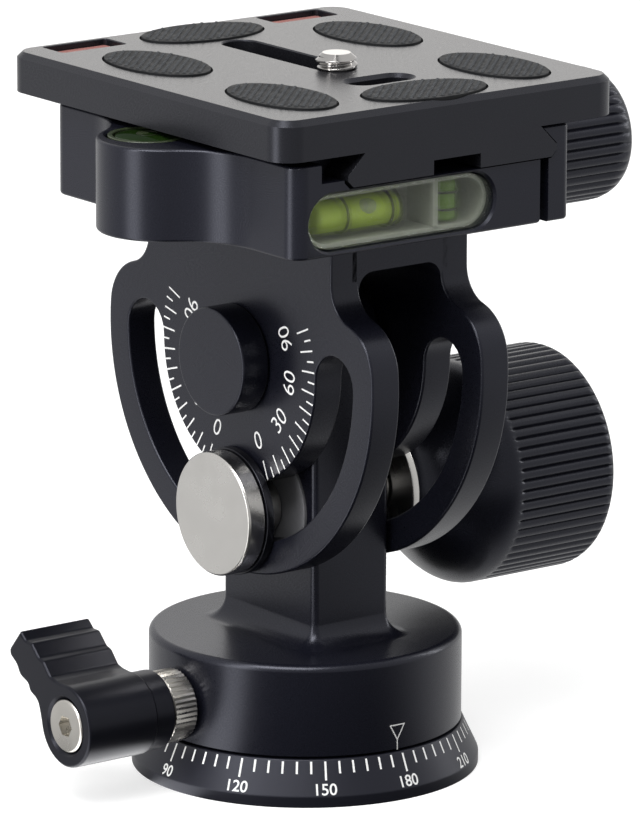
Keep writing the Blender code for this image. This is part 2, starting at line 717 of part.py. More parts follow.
# Tilt knob

def knob_washer():
    """The bright washer between the rear arm and the knob."""
    return tube(WASHER_RADIUS, BOLT_RADIUS + GAP, WASHER_START, WASHER_START + WASHER_THICKNESS,
                (0, 0, BOLT_HEIGHT), (0, 1, 0), ROUND_STEPS)


def knob_flare_radius(share):
    """The hollow-then-full curve of the knob's flank, from its neck to its grip."""
    wave = (1 - math.cos(math.pi * share ** KNOB_FLARE_LEAN_SHARE)) / 2
    return KNOB_NECK_RADIUS + (KNOB_RADIUS - KNOB_NECK_RADIUS) * wave


def tilt_knob():
    """The large ribbed knob."""
    flare_end = KNOB_START + KNOB_FLARE_LENGTH
    end = KNOB_START + KNOB_LENGTH
    rows = []
    for i in range(ARC_STEPS + 1):
        share = i / ARC_STEPS
        rows.append((KNOB_START + KNOB_FLARE_LENGTH * share, knob_flare_radius(share), 0))
    rows.append((flare_end + KNOB_RIB_DEPTH, KNOB_RADIUS, KNOB_RIB_DEPTH))
    rows.append((end - KNOB_RIM, KNOB_RADIUS, KNOB_RIB_DEPTH))
    rows.append((end - KNOB_RIM + KNOB_RIB_DEPTH, KNOB_RADIUS - KNOB_RIB_DEPTH, 0))
    rows.append((end, KNOB_RADIUS - KNOB_RIM, 0))
    axis = (0, 0, BOLT_HEIGHT)
    body = ribbed(rows, KNOB_RIBS, axis, (0, 1, 0))
    well = BOLT_RADIUS + GAP + INSERT_WALL + GAP
    bore = rod(well, KNOB_START - OVERRUN, end - KNOB_CAP_THICKNESS, axis, (0, 1, 0))
    floor = end - KNOB_CAP_THICKNESS - GAP
    seat = rod(KNOB_CAP_RADIUS + GAP, floor, end + OVERRUN, axis, (0, 1, 0), ROUND_STEPS)
    return cut(body, bore, seat)


def knob_insert():
    """The threaded sleeve inside the knob."""
    inner = BOLT_RADIUS + GAP
    end = KNOB_START + KNOB_LENGTH - KNOB_CAP_THICKNESS - GAP - GAP
    return tube(inner + INSERT_WALL, inner, KNOB_START + GAP, end, (0, 0, BOLT_HEIGHT), (0, 1, 0))


def knob_end_cap():
    """The disc that closes the knob's outer end."""
    end = KNOB_START + KNOB_LENGTH
    start = end - KNOB_CAP_THICKNESS
    return rod(KNOB_CAP_RADIUS, start, end - GAP, (0, 0, BOLT_HEIGHT), (0, 1, 0), ROUND_STEPS)


# Tilt head

def yoke_side():
    """The right half of the yoke's outline from the bottom of the arm to the top of the neck."""
    upper = (NECK_HALF_WIDTH + NECK_FILLET, NECK_FILLET_RISE)
    reach = math.hypot(*upper)
    inner = ARM_RADIUS - SHOULDER_ROUND
    span = SHOULDER_ROUND + NECK_FILLET
    bend = math.acos((inner ** 2 + reach ** 2 - span ** 2) / (2 * inner * reach))
    angle = math.atan2(upper[1], upper[0]) - bend
    lower = (inner * math.cos(angle), inner * math.sin(angle))
    meet = math.degrees(math.atan2(upper[1] - lower[1], upper[0] - lower[0]))
    outline = arc((0, 0), ARM_RADIUS, -90, math.degrees(angle), 3 * ARC_STEPS)
    outline += arc(lower, SHOULDER_ROUND, math.degrees(angle), meet)[1:]
    outline += arc(upper, NECK_FILLET, meet + 180, 180)[1:]
    outline.append((NECK_HALF_WIDTH, YOKE_RISE))
    return outline


def slot_outline():
    """The arc slot: half a turn about the tilt axis, with round ends."""
    centre = (0, 0)
    outline = arc(centre, BOLT_DROP + SLOT_HALF_WIDTH, -180, 0, 4 * ARC_STEPS)
    outline += arc((BOLT_DROP, 0), SLOT_HALF_WIDTH, 0, 180)[1:-1]
    outline += arc(centre, BOLT_DROP - SLOT_HALF_WIDTH, 0, -180, 4 * ARC_STEPS)
    outline += arc((-BOLT_DROP, 0), SLOT_HALF_WIDTH, 0, 180)[1:-1]
    return [(u, v + TILT_HEIGHT) for u, v in outline]


def yoke():
    """The two slotted arms and the neck that joins them."""
    side = yoke_side()
    mirrored = [(-u, v) for u, v in reversed(side[1:])]
    outline = [(u, v + TILT_HEIGHT) for u, v in side + mirrored]
    body = prism(outline, "Y", -ARM_OUTER, ARM_OUTER, ARM_EDGE)
    low = TILT_HEIGHT - ARM_RADIUS - OVERRUN
    corner = POCKET_CORNER
    pocket = ([(-ARM_INNER, low), (ARM_INNER, low)]
              + arc((ARM_INNER - corner, POCKET_TOP - corner), corner, 0, 90)
              + arc((-ARM_INNER + corner, POCKET_TOP - corner), corner, 90, 180))
    reach = ARM_RADIUS + OVERRUN
    arm_end = ARM_OUTER + OVERRUN
    tilt_centre = (0, 0, TILT_HEIGHT)
    cutters = [
        prism(pocket, "X", -reach, reach),
        prism(slot_outline(), "Y", -arm_end, arm_end),
        rod(AXLE_RADIUS + GAP, -arm_end, arm_end, tilt_centre, (0, 1, 0)),
    ]
    mouth, seat = POCKET_TOP - OVERRUN, POCKET_TOP + YOKE_SCREW_HEAD_HEIGHT + GAP + GAP
    shank_room, head_room = YOKE_SCREW_RADIUS + GAP, YOKE_SCREW_HEAD + GAP
    bore = [(0, mouth), (head_room, mouth), (head_room, seat), (shank_room, seat),
            (shank_room, YOKE_TOP + OVERRUN), (0, YOKE_TOP + OVERRUN)]
    for side_x in (-YOKE_SCREW_SPACING, YOKE_SCREW_SPACING):
        cutters.append(turned(bore, (side_x, 0, 0)))
    return cut(body, *cutters)


def yoke_screw(place_x):
    """A cap screw from the yoke's roof up into the clamp."""
    start = POCKET_TOP + GAP
    neck = start + YOKE_SCREW_HEAD_HEIGHT
    end = start + YOKE_SCREW_LENGTH
    profile = [(0, start), (YOKE_SCREW_HEAD, start), (YOKE_SCREW_HEAD, neck),
               (YOKE_SCREW_RADIUS, neck), (YOKE_SCREW_RADIUS, end), (0, end)]
    return turned(profile, (place_x, 0, 0))


def pivot_axle():
    """The pin that the yoke tilts on."""
    return rod(AXLE_RADIUS, -ARM_OUTER, ARM_OUTER, (0, 0, TILT_HEIGHT), (0, 1, 0))


def pivot_cap(direction, length):
    """A plain round cap over an end of the axle."""
    start = ARM_OUTER + GAP
    end = start + length
    profile = [(0, start), (CAP_RADIUS, start), (CAP_RADIUS, end - CAP_EDGE),
               (CAP_RADIUS - CAP_EDGE, end), (0, end)]
    return turned(profile, (0, 0, TILT_HEIGHT), direction, ROUND_STEPS)


def lug_plan(left, right, back, front, corner, lug):
    """A block seen from above, with a half-round lug flowing out of its front side.

    The second coordinate grows outward through the front. The lug is (radius, offset, fillet),
    its offset being how far its centre lies in front of the side.
    """
    radius, offset, fillet = lug
    reach = math.sqrt((radius + fillet) ** 2 - (fillet - offset) ** 2)
    lean = math.degrees(math.atan2(fillet - offset, reach))
    flank = arc((reach, fillet), fillet, 270, 180 + lean)
    crown = arc((0, offset), radius, lean, 180 - lean, 3 * ARC_STEPS)
    bulge = flank + crown[1:-1] + [(-u, v) for u, v in reversed(flank)]
    outline = [(right, back)] + arc((right - corner, front - corner), corner, 0, 90)
    outline += [(u + CLAMP_CENTRE_X, v + front) for u, v in bulge]
    outline += arc((left + corner, front - corner), corner, 90, 180) + [(left, back)]
    return outline


def dovetail_side(room):
    """Half of the dovetail from its bottom up, grown by a clearance, as (half width, height)."""
    flare_height = PLATE_BOTTOM - (DOVETAIL_FLARE - DOVETAIL_NECK)
    diagonal = math.sqrt(2)
    bottom = DOVETAIL_BOTTOM - room
    return [
        (DOVETAIL_FLARE + room - DOVETAIL_CORNER, bottom), (DOVETAIL_FLARE + room, bottom + DOVETAIL_CORNER),
        (DOVETAIL_FLARE + room, flare_height + room * (diagonal - 1)),
        (DOVETAIL_NECK + room * diagonal, PLATE_BOTTOM),
    ]


def clamp_screw_bore(radius, start, end):
    """A cutter or solid along the clamp screw's axis."""
    return rod(radius, start, end, (CLAMP_CENTRE_X, 0, CLAMP_SCREW_HEIGHT), (0, 1, 0))


def window_outline(inset):
    """The level's window seen from the end, shrunk by an inset."""
    return stadium((WINDOW_CENTRE_Y, WINDOW_HEIGHT), WINDOW_HALF_LENGTH - inset, WINDOW_HALF_HEIGHT - inset)


def guide_pin_places():
    """Where the two guide pins stand along X."""
    return (CLAMP_CENTRE_X - GUIDE_PIN_SPACING, CLAMP_CENTRE_X + GUIDE_PIN_SPACING)


def clamp_body():
    """The clamp's body: fixed jaw, level pocket, bullseye lug and screw bores."""
    plan = lug_plan(CLAMP_START, CLAMP_END, -CLAMP_BACK, CLAMP_FRONT, CLAMP_CORNER,
                    (LUG_RADIUS, LUG_OFFSET, LUG_FILLET))
    body = prism([(u, -v) for u, v in plan], "Z", CLAMP_BOTTOM, CLAMP_TOP, CLAMP_EDGE)
    above = PLATE_BOTTOM + OVERRUN
    behind = CLAMP_BACK + OVERRUN
    left = [(PLATE_CENTRE_Y - half, height) for half, height in dovetail_side(GAP)]
    channel = [(behind, CHANNEL_FLOOR)] + left + [(left[-1][0], above), (behind, above)]
    ends = (CLAMP_START - OVERRUN, CLAMP_END + OVERRUN)
    relief_right = PLATE_CENTRE_Y - DOVETAIL_NECK
    relief_left = PLATE_CENTRE_Y - DOVETAIL_FLARE - GAP - RELIEF_WIDTH
    relief = [(CLAMP_END - RELIEF_DEPTH, relief_left), (ends[1], relief_left),
              (ends[1], relief_right), (CLAMP_END - RELIEF_DEPTH, relief_right)]
    screw_room = CLAMP_SCREW_RADIUS + GAP
    screw_end = CLAMP_BACK - CLAMP_SCREW_DEPTH - GAP
    spring_room = SPRING_RADIUS + SPRING_WIRE + GAP
    spring_end = JAW_INNER - GAP - SPRING_LENGTH - GAP
    bore = [(0, screw_end), (screw_room, screw_end), (screw_room, spring_end), (spring_room, spring_end),
            (spring_room, behind), (0, behind)]
    cutters = [
        prism(channel, "X", *ends),
        prism(relief, "Z", CLAMP_TOP - RELIEF_HEIGHT, above),
        prism(window_outline(0), "X", CLAMP_END - WINDOW_DEPTH, ends[1]),
        turned(bore, (CLAMP_CENTRE_X, 0, CLAMP_SCREW_HEIGHT), (0, 1, 0)),
        rod(BULLSEYE_RADIUS + GAP, CLAMP_TOP - BULLSEYE_HEIGHT - GAP, above, (BULLSEYE_X, BULLSEYE_Y, 0),
            steps=ROUND_STEPS),
    ]
    for place in guide_pin_places():
        start = JAW_INNER + GUIDE_PIN_REACH - GUIDE_PIN_LENGTH - GAP
        cutters.append(rod(GUIDE_PIN_RADIUS + GAP, start, behind, (place, 0, CLAMP_SCREW_HEIGHT), (0, 1, 0)))
    for place in (-YOKE_SCREW_SPACING, YOKE_SCREW_SPACING):
        end = POCKET_TOP + GAP + YOKE_SCREW_LENGTH + GAP
        cutters.append(rod(YOKE_SCREW_RADIUS + GAP, CLAMP_BOTTOM - OVERRUN, end, (place, 0, 0)))
    return cut(body, *cutters)


def vial_holder():
    """The tray behind the vials, with the divider between them."""
    tray_end = HOLDER_START + HOLDER_THICKNESS
    tray = prism(window_outline(GAP), "X", HOLDER_START, tray_end)
    half = DIVIDER_THICKNESS / 2
    bottom, top = WINDOW_HEIGHT - WINDOW_HALF_HEIGHT + 2 * GAP, WINDOW_HEIGHT + WINDOW_HALF_HEIGHT - 2 * GAP
    wall = [(DIVIDER_Y - half, bottom), (DIVIDER_Y + half, bottom), (DIVIDER_Y + half, top), (DIVIDER_Y - half, top)]
    lens_back = CLAMP_END - GAP - LENS_THICKNESS - GAP
    return join(tray, prism(wall, "X", tray_end - HOLDER_THICKNESS / 2, lens_back))


def long_vial():
    """The level that reads along Y."""
    half = LONG_VIAL_LENGTH / 2
    centre = (VIAL_AXIS_X, LONG_VIAL_CENTRE_Y, WINDOW_HEIGHT)
    return rod(LONG_VIAL_RADIUS, -half, half, centre, (0, 1, 0))


def short_vial():
    """The upright level."""
    half = SHORT_VIAL_HEIGHT / 2
    centre = (VIAL_AXIS_X, SHORT_VIAL_CENTRE_Y, WINDOW_HEIGHT)
    return rod(SHORT_VIAL_RADIUS, -half, half, centre)


def vial_window():
    """The clear cover over both vials."""
    end = CLAMP_END - GAP
    return prism(window_outline(GAP), "X", end - LENS_THICKNESS, end)


def bullseye_cup():
    """The cup of the round level."""
    start = CLAMP_TOP - BULLSEYE_HEIGHT
    floor = start + BULLSEYE_BASE
    inner = BULLSEYE_RADIUS - BULLSEYE_WALL
    profile = [(0, start), (BULLSEYE_RADIUS, start), (BULLSEYE_RADIUS, CLAMP_TOP), (inner, CLAMP_TOP),
               (inner, floor), (0, floor)]
    return turned(profile, (BULLSEYE_X, BULLSEYE_Y, 0), steps=ROUND_STEPS)


def bullseye_vial():
    """The domed round level."""
    floor = CLAMP_TOP - BULLSEYE_HEIGHT + BULLSEYE_BASE + GAP
    outer = BULLSEYE_RADIUS - BULLSEYE_WALL - GAP
    profile = [(0, floor), (outer, floor), (outer, CLAMP_TOP - BULLSEYE_CROWN),
               (outer / 2, CLAMP_TOP), (0, CLAMP_TOP + BULLSEYE_CROWN / 2)]
    return turned(profile, (BULLSEYE_X, BULLSEYE_Y, 0), steps=ROUND_STEPS)


def guide_pin(place):
    """A pin that keeps the moving jaw square."""
    start = JAW_INNER + GUIDE_PIN_REACH - GUIDE_PIN_LENGTH
    return rod(GUIDE_PIN_RADIUS, start, start + GUIDE_PIN_LENGTH, (place, 0, CLAMP_SCREW_HEIGHT), (0, 1, 0))


def jaw_spring():
    """The coil spring that pushes the jaw open, one unbroken wire."""
    points = SPRING_TURNS * SMALL_STEPS // 2
    start = JAW_INNER - GAP - SPRING_LENGTH + SPRING_WIRE
    lead = (SPRING_LENGTH - SPRING_WIRE * 2) / points
    curve = bpy.data.curves.new("spring_path", "CURVE")
    curve.dimensions = "3D"
    curve.bevel_depth = SPRING_WIRE
    curve.bevel_resolution = 1
    curve.use_fill_caps = True
    path = curve.splines.new("POLY")
    path.points.add(points)
    for i in range(points + 1):
        angle = math.tau * SPRING_TURNS * i / points
        across = CLAMP_CENTRE_X + SPRING_RADIUS * math.cos(angle)
        height = CLAMP_SCREW_HEIGHT + SPRING_RADIUS * math.sin(angle)
        path.points[i].co = (across, start + lead * i, height, 1)
    guide = bpy.data.objects.new("spring_path", curve)
    bpy.context.scene.collection.objects.link(guide)
    bpy.context.view_layer.update()
    seen = guide.evaluated_get(bpy.context.evaluated_depsgraph_get())
    bm = bmesh.new()
    bm.from_mesh(bpy.data.meshes.new_from_object(seen))
    bpy.data.objects.remove(guide, do_unlink=True)
    return solid(bm)


# Moving jaw and its knob

def clamp_jaw():
    """The moving jaw, undercut to hook the dovetail, with the boss for its screw."""
    lip = PLATE_CENTRE_Y + DOVETAIL_NECK
    top = CLAMP_BOTTOM + JAW_HEIGHT
    offset = JAW_LUG_REACH - LUG_RADIUS
    plan = lug_plan(CLAMP_START, CLAMP_END, lip, JAW_OUTER, JAW_CORNER,
                    (LUG_RADIUS, offset, JAW_LUG_FILLET))
    body = prism(plan, "Z", CLAMP_BOTTOM, top, CLAMP_EDGE)
    ends = (CLAMP_START - OVERRUN, CLAMP_END + OVERRUN)
    low = CLAMP_BOTTOM - OVERRUN
    inside = lip - OVERRUN
    side = [(PLATE_CENTRE_Y + half, height) for half, height in dovetail_side(GAP)]
    undercut = [(inside, low), (JAW_INNER, low), (JAW_INNER, CHANNEL_FLOOR)] + side + [(inside, PLATE_BOTTOM)]
    cutters = [
        prism(undercut, "X", *ends),
        clamp_screw_bore(CLAMP_SCREW_RADIUS + GAP, inside, JAW_LUG_FACE + OVERRUN),
    ]
    for place in guide_pin_places():
        cutters.append(rod(GUIDE_PIN_RADIUS + GAP, inside, JAW_INNER + GUIDE_PIN_REACH + GAP,
                           (place, 0, CLAMP_SCREW_HEIGHT), (0, 1, 0)))
    return cut(body, *cutters)


def thrust_washer():
    """The washer between the jaw's boss and the knob."""
    start = JAW_LUG_FACE + GAP
    return tube(THRUST_WASHER_RADIUS, CLAMP_SCREW_RADIUS + GAP, start, start + THRUST_WASHER_THICKNESS,
                (CLAMP_CENTRE_X, 0, CLAMP_SCREW_HEIGHT), (0, 1, 0))


def clamp_knob():
    """The ribbed knob that closes the jaw."""
    start = CLAMP_KNOB_START
    end = start + CLAMP_KNOB_LENGTH
    collar = start + CLAMP_KNOB_COLLAR_LENGTH
    bend = end - CLAMP_KNOB_ROUND
    root = CLAMP_KNOB_RADIUS - CLAMP_KNOB_RIB_DEPTH
    rows = [
        (start, CLAMP_KNOB_COLLAR, 0), (collar, CLAMP_KNOB_COLLAR, 0),
        (collar + CLAMP_KNOB_RIB_DEPTH, root, 0),
        (collar + 2 * CLAMP_KNOB_RIB_DEPTH, CLAMP_KNOB_RADIUS, CLAMP_KNOB_RIB_DEPTH),
        (bend, CLAMP_KNOB_RADIUS, CLAMP_KNOB_RIB_DEPTH), (bend + CLAMP_KNOB_ROUND / 2, root, 0),
        (end, CLAMP_KNOB_RIM_RADIUS, 0),
    ]
    axis = (CLAMP_CENTRE_X, 0, CLAMP_SCREW_HEIGHT)
    body = ribbed(rows, CLAMP_KNOB_RIBS, axis, (0, 1, 0))
    floor = end - CLAMP_KNOB_CAP_THICKNESS - GAP
    bore = clamp_screw_bore(CLAMP_SCREW_RADIUS + GAP, start - OVERRUN, end)
    seat = clamp_screw_bore(CLAMP_KNOB_CAP_RADIUS + GAP, floor, end + OVERRUN)
    return cut(body, bore, seat)


def clamp_screw():
    """The long screw fixed in the clamp knob."""
    end = CLAMP_KNOB_START + CLAMP_KNOB_LENGTH - CLAMP_KNOB_CAP_THICKNESS - GAP - GAP
    return clamp_screw_bore(CLAMP_SCREW_RADIUS, CLAMP_BACK - CLAMP_SCREW_DEPTH, end)


def clamp_knob_cap():
    """The disc in the end of the clamp knob."""
    end = CLAMP_KNOB_START + CLAMP_KNOB_LENGTH
    return clamp_screw_bore(CLAMP_KNOB_CAP_RADIUS, end - CLAMP_KNOB_CAP_THICKNESS, end - GAP)


# Camera plate

def pad_places():
    """Centre and half sizes of each grip pad."""
    end_shape = (PAD_HALF_WIDTH, PAD_HALF_LENGTH)
    side_shape = (PAD_SIDE_HALF_LENGTH, PAD_HALF_WIDTH)
    places = [((x, PLATE_CENTRE_Y), end_shape) for x in (-PAD_END_X, PAD_END_X)]
    for x in (PAD_LEFT_X, PAD_RIGHT_X):
        for y in (PLATE_CENTRE_Y - PAD_SIDE_Y, PLATE_CENTRE_Y + PAD_SIDE_Y):
            places.append(((x, y), side_shape))
    return places


def insert_outline(side, inset):
    """A corner insert's outline, shrunk by an inset; side is its sign along Y."""
    centre_y = PLATE_CENTRE_Y + side * INSERT_Y
    half_x, half_y = INSERT_HALF_X - inset, INSERT_HALF_Y - inset
    low, high = (INSERT_X - half_x, centre_y - half_y), (INSERT_X + half_x, centre_y + half_y)
    return rounded_box(low, high, INSERT_CORNER)


def oval_sink():
    """The countersunk mouth of the oval hole."""
    centre = (OVAL_X, PLATE_CENTRE_Y)
    steps = ((0, PLATE_TOP - OVAL_SINK), (OVAL_SINK, PLATE_TOP), (OVAL_SINK, PLATE_TOP + OVERRUN))
    sections = []
    for grow, height in steps:
        ring = stadium(centre, OVAL_HALF_STRAIGHT + OVAL_RADIUS + grow, OVAL_RADIUS + grow, False)
        sections.append([(u, v, height) for u, v in ring])
    return loft(sections)


def camera_plate():
    """The quick-release plate: dovetail, screw slot, pin slot, pad and insert pockets."""
    plan = rounded_box((-PLATE_END, PLATE_CENTRE_Y - PLATE_SIDE), (PLATE_END, PLATE_CENTRE_Y + PLATE_SIDE),
                       PLATE_CORNER, ARC_STEPS)
    body = prism(plan, "Z", PLATE_BOTTOM, PLATE_TOP, PLATE_EDGE, 1, False)
    middle = PLATE_BOTTOM + PLATE_THICKNESS / 2
    side = dovetail_side(0)
    right = [(PLATE_CENTRE_Y + half, height) for half, height in side]
    left = [(PLATE_CENTRE_Y - half, height) for half, height in reversed(side)]
    tail = prism(right + [(right[-1][0], middle), (left[0][0], middle)] + left, "X", -PLATE_END, PLATE_END)
    body = join(body, tail)
    below = DOVETAIL_BOTTOM - OVERRUN
    above = PLATE_TOP + OVERRUN
    slot_end = SCREW_X + SCREW_SLOT_HALF_WIDTH
    slot_centre = ((SCREW_SLOT_START + slot_end) / 2, PLATE_CENTRE_Y)
    slot = stadium(slot_centre, (slot_end - SCREW_SLOT_START) / 2, SCREW_SLOT_HALF_WIDTH)
    head_room = CAMERA_SCREW_HEAD + GAP
    well_start = SCREW_SLOT_START + SCREW_SLOT_HALF_WIDTH - head_room
    well = rounded_box((well_start, PLATE_CENTRE_Y - HEAD_RECESS_HALF_WIDTH),
                       (SCREW_X + head_room, PLATE_CENTRE_Y + HEAD_RECESS_HALF_WIDTH), HEAD_RECESS_CORNER)
    notch_y = PLATE_CENTRE_Y + NOTCH_SHIFT
    notch_top = DOVETAIL_BOTTOM + NOTCH_HEIGHT
    notch = [(notch_y - NOTCH_HALF_WIDTH, below), (notch_y + NOTCH_HALF_WIDTH, below),
             (notch_y + NOTCH_HALF_WIDTH, notch_top), (notch_y - NOTCH_HALF_WIDTH, notch_top)]
    oval = stadium((OVAL_X, PLATE_CENTRE_Y), OVAL_HALF_STRAIGHT + OVAL_RADIUS, OVAL_RADIUS, False)
    cutters = [
        prism(slot, "Z", below, above),
        prism(well, "Z", below, DOVETAIL_BOTTOM + HEAD_RECESS_HEIGHT),
        prism(notch, "X", -PLATE_END - OVERRUN, PLATE_END + OVERRUN),
        prism(oval, "Z", below, above),
        oval_sink(),
    ]
    for centre, (half_u, half_v) in pad_places():
        pocket = ellipse(centre, half_u + GAP, half_v + GAP)
        cutters.append(prism(pocket, "Z", PLATE_TOP - PAD_DEPTH - GAP, above))
    for side_y in (-1, 1):
        cutters.append(prism(insert_outline(side_y, -GAP), "Z", PLATE_TOP - INSERT_POCKET, above))
    return cut(body, *cutters)


def grip_pad(centre, half_u, half_v):
    """An oval rubber pad standing a little proud of the plate."""
    base = PLATE_TOP - PAD_DEPTH
    return prism(ellipse(centre, half_u, half_v), "Z", base, PLATE_TOP + PAD_PROUD, PAD_PROUD / 2, 1, False)


def end_insert(side):
    """A coloured insert at the bottom of its pocket."""
    base = PLATE_TOP - INSERT_POCKET + GAP
    return prism(insert_outline(side, 0), "Z", base, base + INSERT_THICKNESS)


def screw_retainer():
    """The sliding keeper that holds the camera screw in its slot."""
    top = DOVETAIL_BOTTOM + HEAD_RECESS_HEIGHT - GAP
    half_x, half_y = RETAINER_LENGTH / 2, RETAINER_WIDTH / 2
    outline = rounded_box((SCREW_X - half_x, PLATE_CENTRE_Y - half_y),
                          (SCREW_X + half_x, PLATE_CENTRE_Y + half_y), HEAD_RECESS_CORNER)
    body = prism(outline, "Z", top - RETAINER_THICKNESS, top)
    centre = (SCREW_X, PLATE_CENTRE_Y, 0)
    return cut(body, rod(CAMERA_SCREW_NECK + GAP, top - RETAINER_THICKNESS - OVERRUN, top + OVERRUN, centre))


def camera_screw():
    """The camera screw: flat head below, waisted neck in the slot, thread above the plate."""
    head_top = DOVETAIL_BOTTOM + HEAD_RECESS_HEIGHT - GAP - RETAINER_THICKNESS - GAP
    head_bottom = head_top - CAMERA_SCREW_HEAD_HEIGHT
    shoulder = PLATE_TOP + GAP
    tip = PLATE_TOP + CAMERA_SCREW_PROUD
    chamfer = CAMERA_SCREW_RADIUS - CAMERA_SCREW_CHAMFER
    profile = [(0, head_bottom), (CAMERA_SCREW_HEAD, head_bottom), (CAMERA_SCREW_HEAD, head_top),
               (CAMERA_SCREW_NECK, head_top), (CAMERA_SCREW_NECK, shoulder), (CAMERA_SCREW_RADIUS, shoulder),
               (CAMERA_SCREW_RADIUS, tip - CAMERA_SCREW_CHAMFER), (chamfer, tip), (0, tip)]
    return turned(profile, (SCREW_X, PLATE_CENTRE_Y, 0))


def main():
    """Build every piece on the frame of the joint that moves it."""
    clear_scene()
    black = finish("satin_black", (0.018, 0.018, 0.021), 0.38, 0.7)
    plate_black = finish("plate_black", (0.035, 0.035, 0.038), 0.36, 0.8)
    steel = finish("steel", (0.62, 0.62, 0.61), 0.26, 1.0)
    brass = finish("brass", (0.62, 0.47, 0.22), 0.35, 1.0)
    polymer = finish("washer_polymer", (0.20, 0.20, 0.20), 0.55, 0.0)
    rubber = finish("rubber", (0.02, 0.02, 0.02), 0.85, 0.0)
    red = finish("red_insert", (0.55, 0.12, 0.07), 0.5, 0.0)
    fluid = finish("level_fluid", (0.45, 0.62, 0.05), 0.1, 0.0)
    clear = finish("clear_cover", (0.85, 0.9, 0.88), 0.05, 0.0, 0.35)

    base = empty("base", (0, 0, 0))
    piece("scale_ring", scale_ring(), black, base)
    piece("pan_washer", pan_washer(), polymer, base)
    piece("pan_spindle", pan_spindle(), steel, base)
    piece("thread_bushing", thread_bushing(), brass, base)

    head = empty("pan_head", (0, 0, LOCK_HEIGHT), base)
    piece("pan_housing", pan_housing(), black, head)
    piece("retaining_screw_left", retaining_screw(1), steel, head)
    piece("retaining_screw_right", retaining_screw(-1), steel, head)
    piece("pivot_bush", pivot_bush(), brass, head)
    piece("tilt_bolt", tilt_bolt(), steel, head)
    piece("bolt_washer", bolt_washer(), black, head)
    piece("friction_washer_front", friction_washer((0, -1, 0)), polymer, head)
    piece("friction_washer_rear", friction_washer((0, 1, 0)), polymer, head)
    piece("slot_sleeve_front", slot_sleeve((0, -1, 0)), steel, head)
    piece("slot_sleeve_rear", slot_sleeve((0, 1, 0)), steel, head)

    lock = empty("pan_lock", (0, -HOUSING_RADIUS, LOCK_HEIGHT), head)
    piece("lock_shoe", lock_shoe(), brass, lock)
    lever = empty("pan_lever", (0, -LEVER_HUB_START, LOCK_HEIGHT), head)
    piece("pan_lock_lever", pan_lock_lever(), black, lever)
    piece("lever_screw", lever_screw(), steel, lever)
    piece("lock_stud", lock_stud(), steel, lever)

    knob_slide = empty("knob_slide", (0, WASHER_START, BOLT_HEIGHT), head)
    piece("knob_washer", knob_washer(), steel, knob_slide)
    knob = empty("knob_turn", (0, KNOB_START, BOLT_HEIGHT), knob_slide)
    piece("tilt_knob", tilt_knob(), black, knob)
    piece("knob_insert", knob_insert(), steel, knob)
    piece("knob_end_cap", knob_end_cap(), black, knob)

    tilt = empty("tilt_axis", (0, 0, TILT_HEIGHT), head)
    piece("yoke", yoke(), black, tilt)
    piece("clamp_body", clamp_body(), black, tilt)
    piece("yoke_screw_left", yoke_screw(-YOKE_SCREW_SPACING), steel, tilt)
    piece("yoke_screw_right", yoke_screw(YOKE_SCREW_SPACING), steel, tilt)
    piece("pivot_axle", pivot_axle(), steel, tilt)
    piece("pivot_cap_front", pivot_cap((0, -1, 0), CAP_LENGTH), black, tilt)
    piece("pivot_cap_rear", pivot_cap((0, 1, 0), REAR_CAP_LENGTH), black, tilt)
    piece("vial_holder", vial_holder(), clear, tilt)
    piece("vial_window", vial_window(), clear, tilt)
    piece("long_vial", long_vial(), fluid, tilt)
    piece("short_vial", short_vial(), fluid, tilt)
    piece("bullseye_cup", bullseye_cup(), clear, tilt)
    piece("bullseye_vial", bullseye_vial(), fluid, tilt)
    piece("jaw_spring", jaw_spring(), steel, tilt)
    left_pin, right_pin = guide_pin_places()
    piece("guide_pin_left", guide_pin(left_pin), steel, tilt)
    piece("guide_pin_right", guide_pin(right_pin), steel, tilt)

    jaw = empty("jaw_slide", (CLAMP_CENTRE_X, JAW_INNER, CLAMP_SCREW_HEIGHT), tilt)
    piece("clamp_jaw", clamp_jaw(), black, jaw)
    piece("thrust_washer", thrust_washer(), steel, jaw)
    jaw_knob = empty("jaw_knob_turn", (CLAMP_CENTRE_X, CLAMP_KNOB_START, CLAMP_SCREW_HEIGHT), jaw)
    piece("clamp_knob", clamp_knob(), black, jaw_knob)
    piece("clamp_screw", clamp_screw(), steel, jaw_knob)
    piece("clamp_knob_cap", clamp_knob_cap(), black, jaw_knob)

    plate = empty("plate_slide", (0, PLATE_CENTRE_Y, PLATE_BOTTOM), tilt)
    piece("camera_plate", camera_plate(), plate_black, plate)
    for number, (centre, halves) in enumerate(pad_places(), 1):
        piece(f"grip_pad_{number}", grip_pad(centre, *halves), rubber, plate)
    piece("end_insert_front", end_insert(-1), red, plate)
    piece("end_insert_rear", end_insert(1), red, plate)
    keeper = empty("screw_slide", (SCREW_X, PLATE_CENTRE_Y, PLATE_BOTTOM), plate)
    piece("screw_retainer", screw_retainer(), steel, keeper)
    turn = empty("screw_turn", (SCREW_X, PLATE_CENTRE_Y, PLATE_BOTTOM), keeper)
    piece("camera_screw", camera_screw(), steel, turn)


main()
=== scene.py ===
"""The looks of a monopod tilt head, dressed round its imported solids.

Metres, +Z up. The base stands on the floor at the origin, the tilt axis runs along Y, the printed arm
faces -Y, the tube levels face +X and the tilt knob is on the +Y side.
"""
import math

import bmesh
import bpy
from mathutils import Matrix, Vector


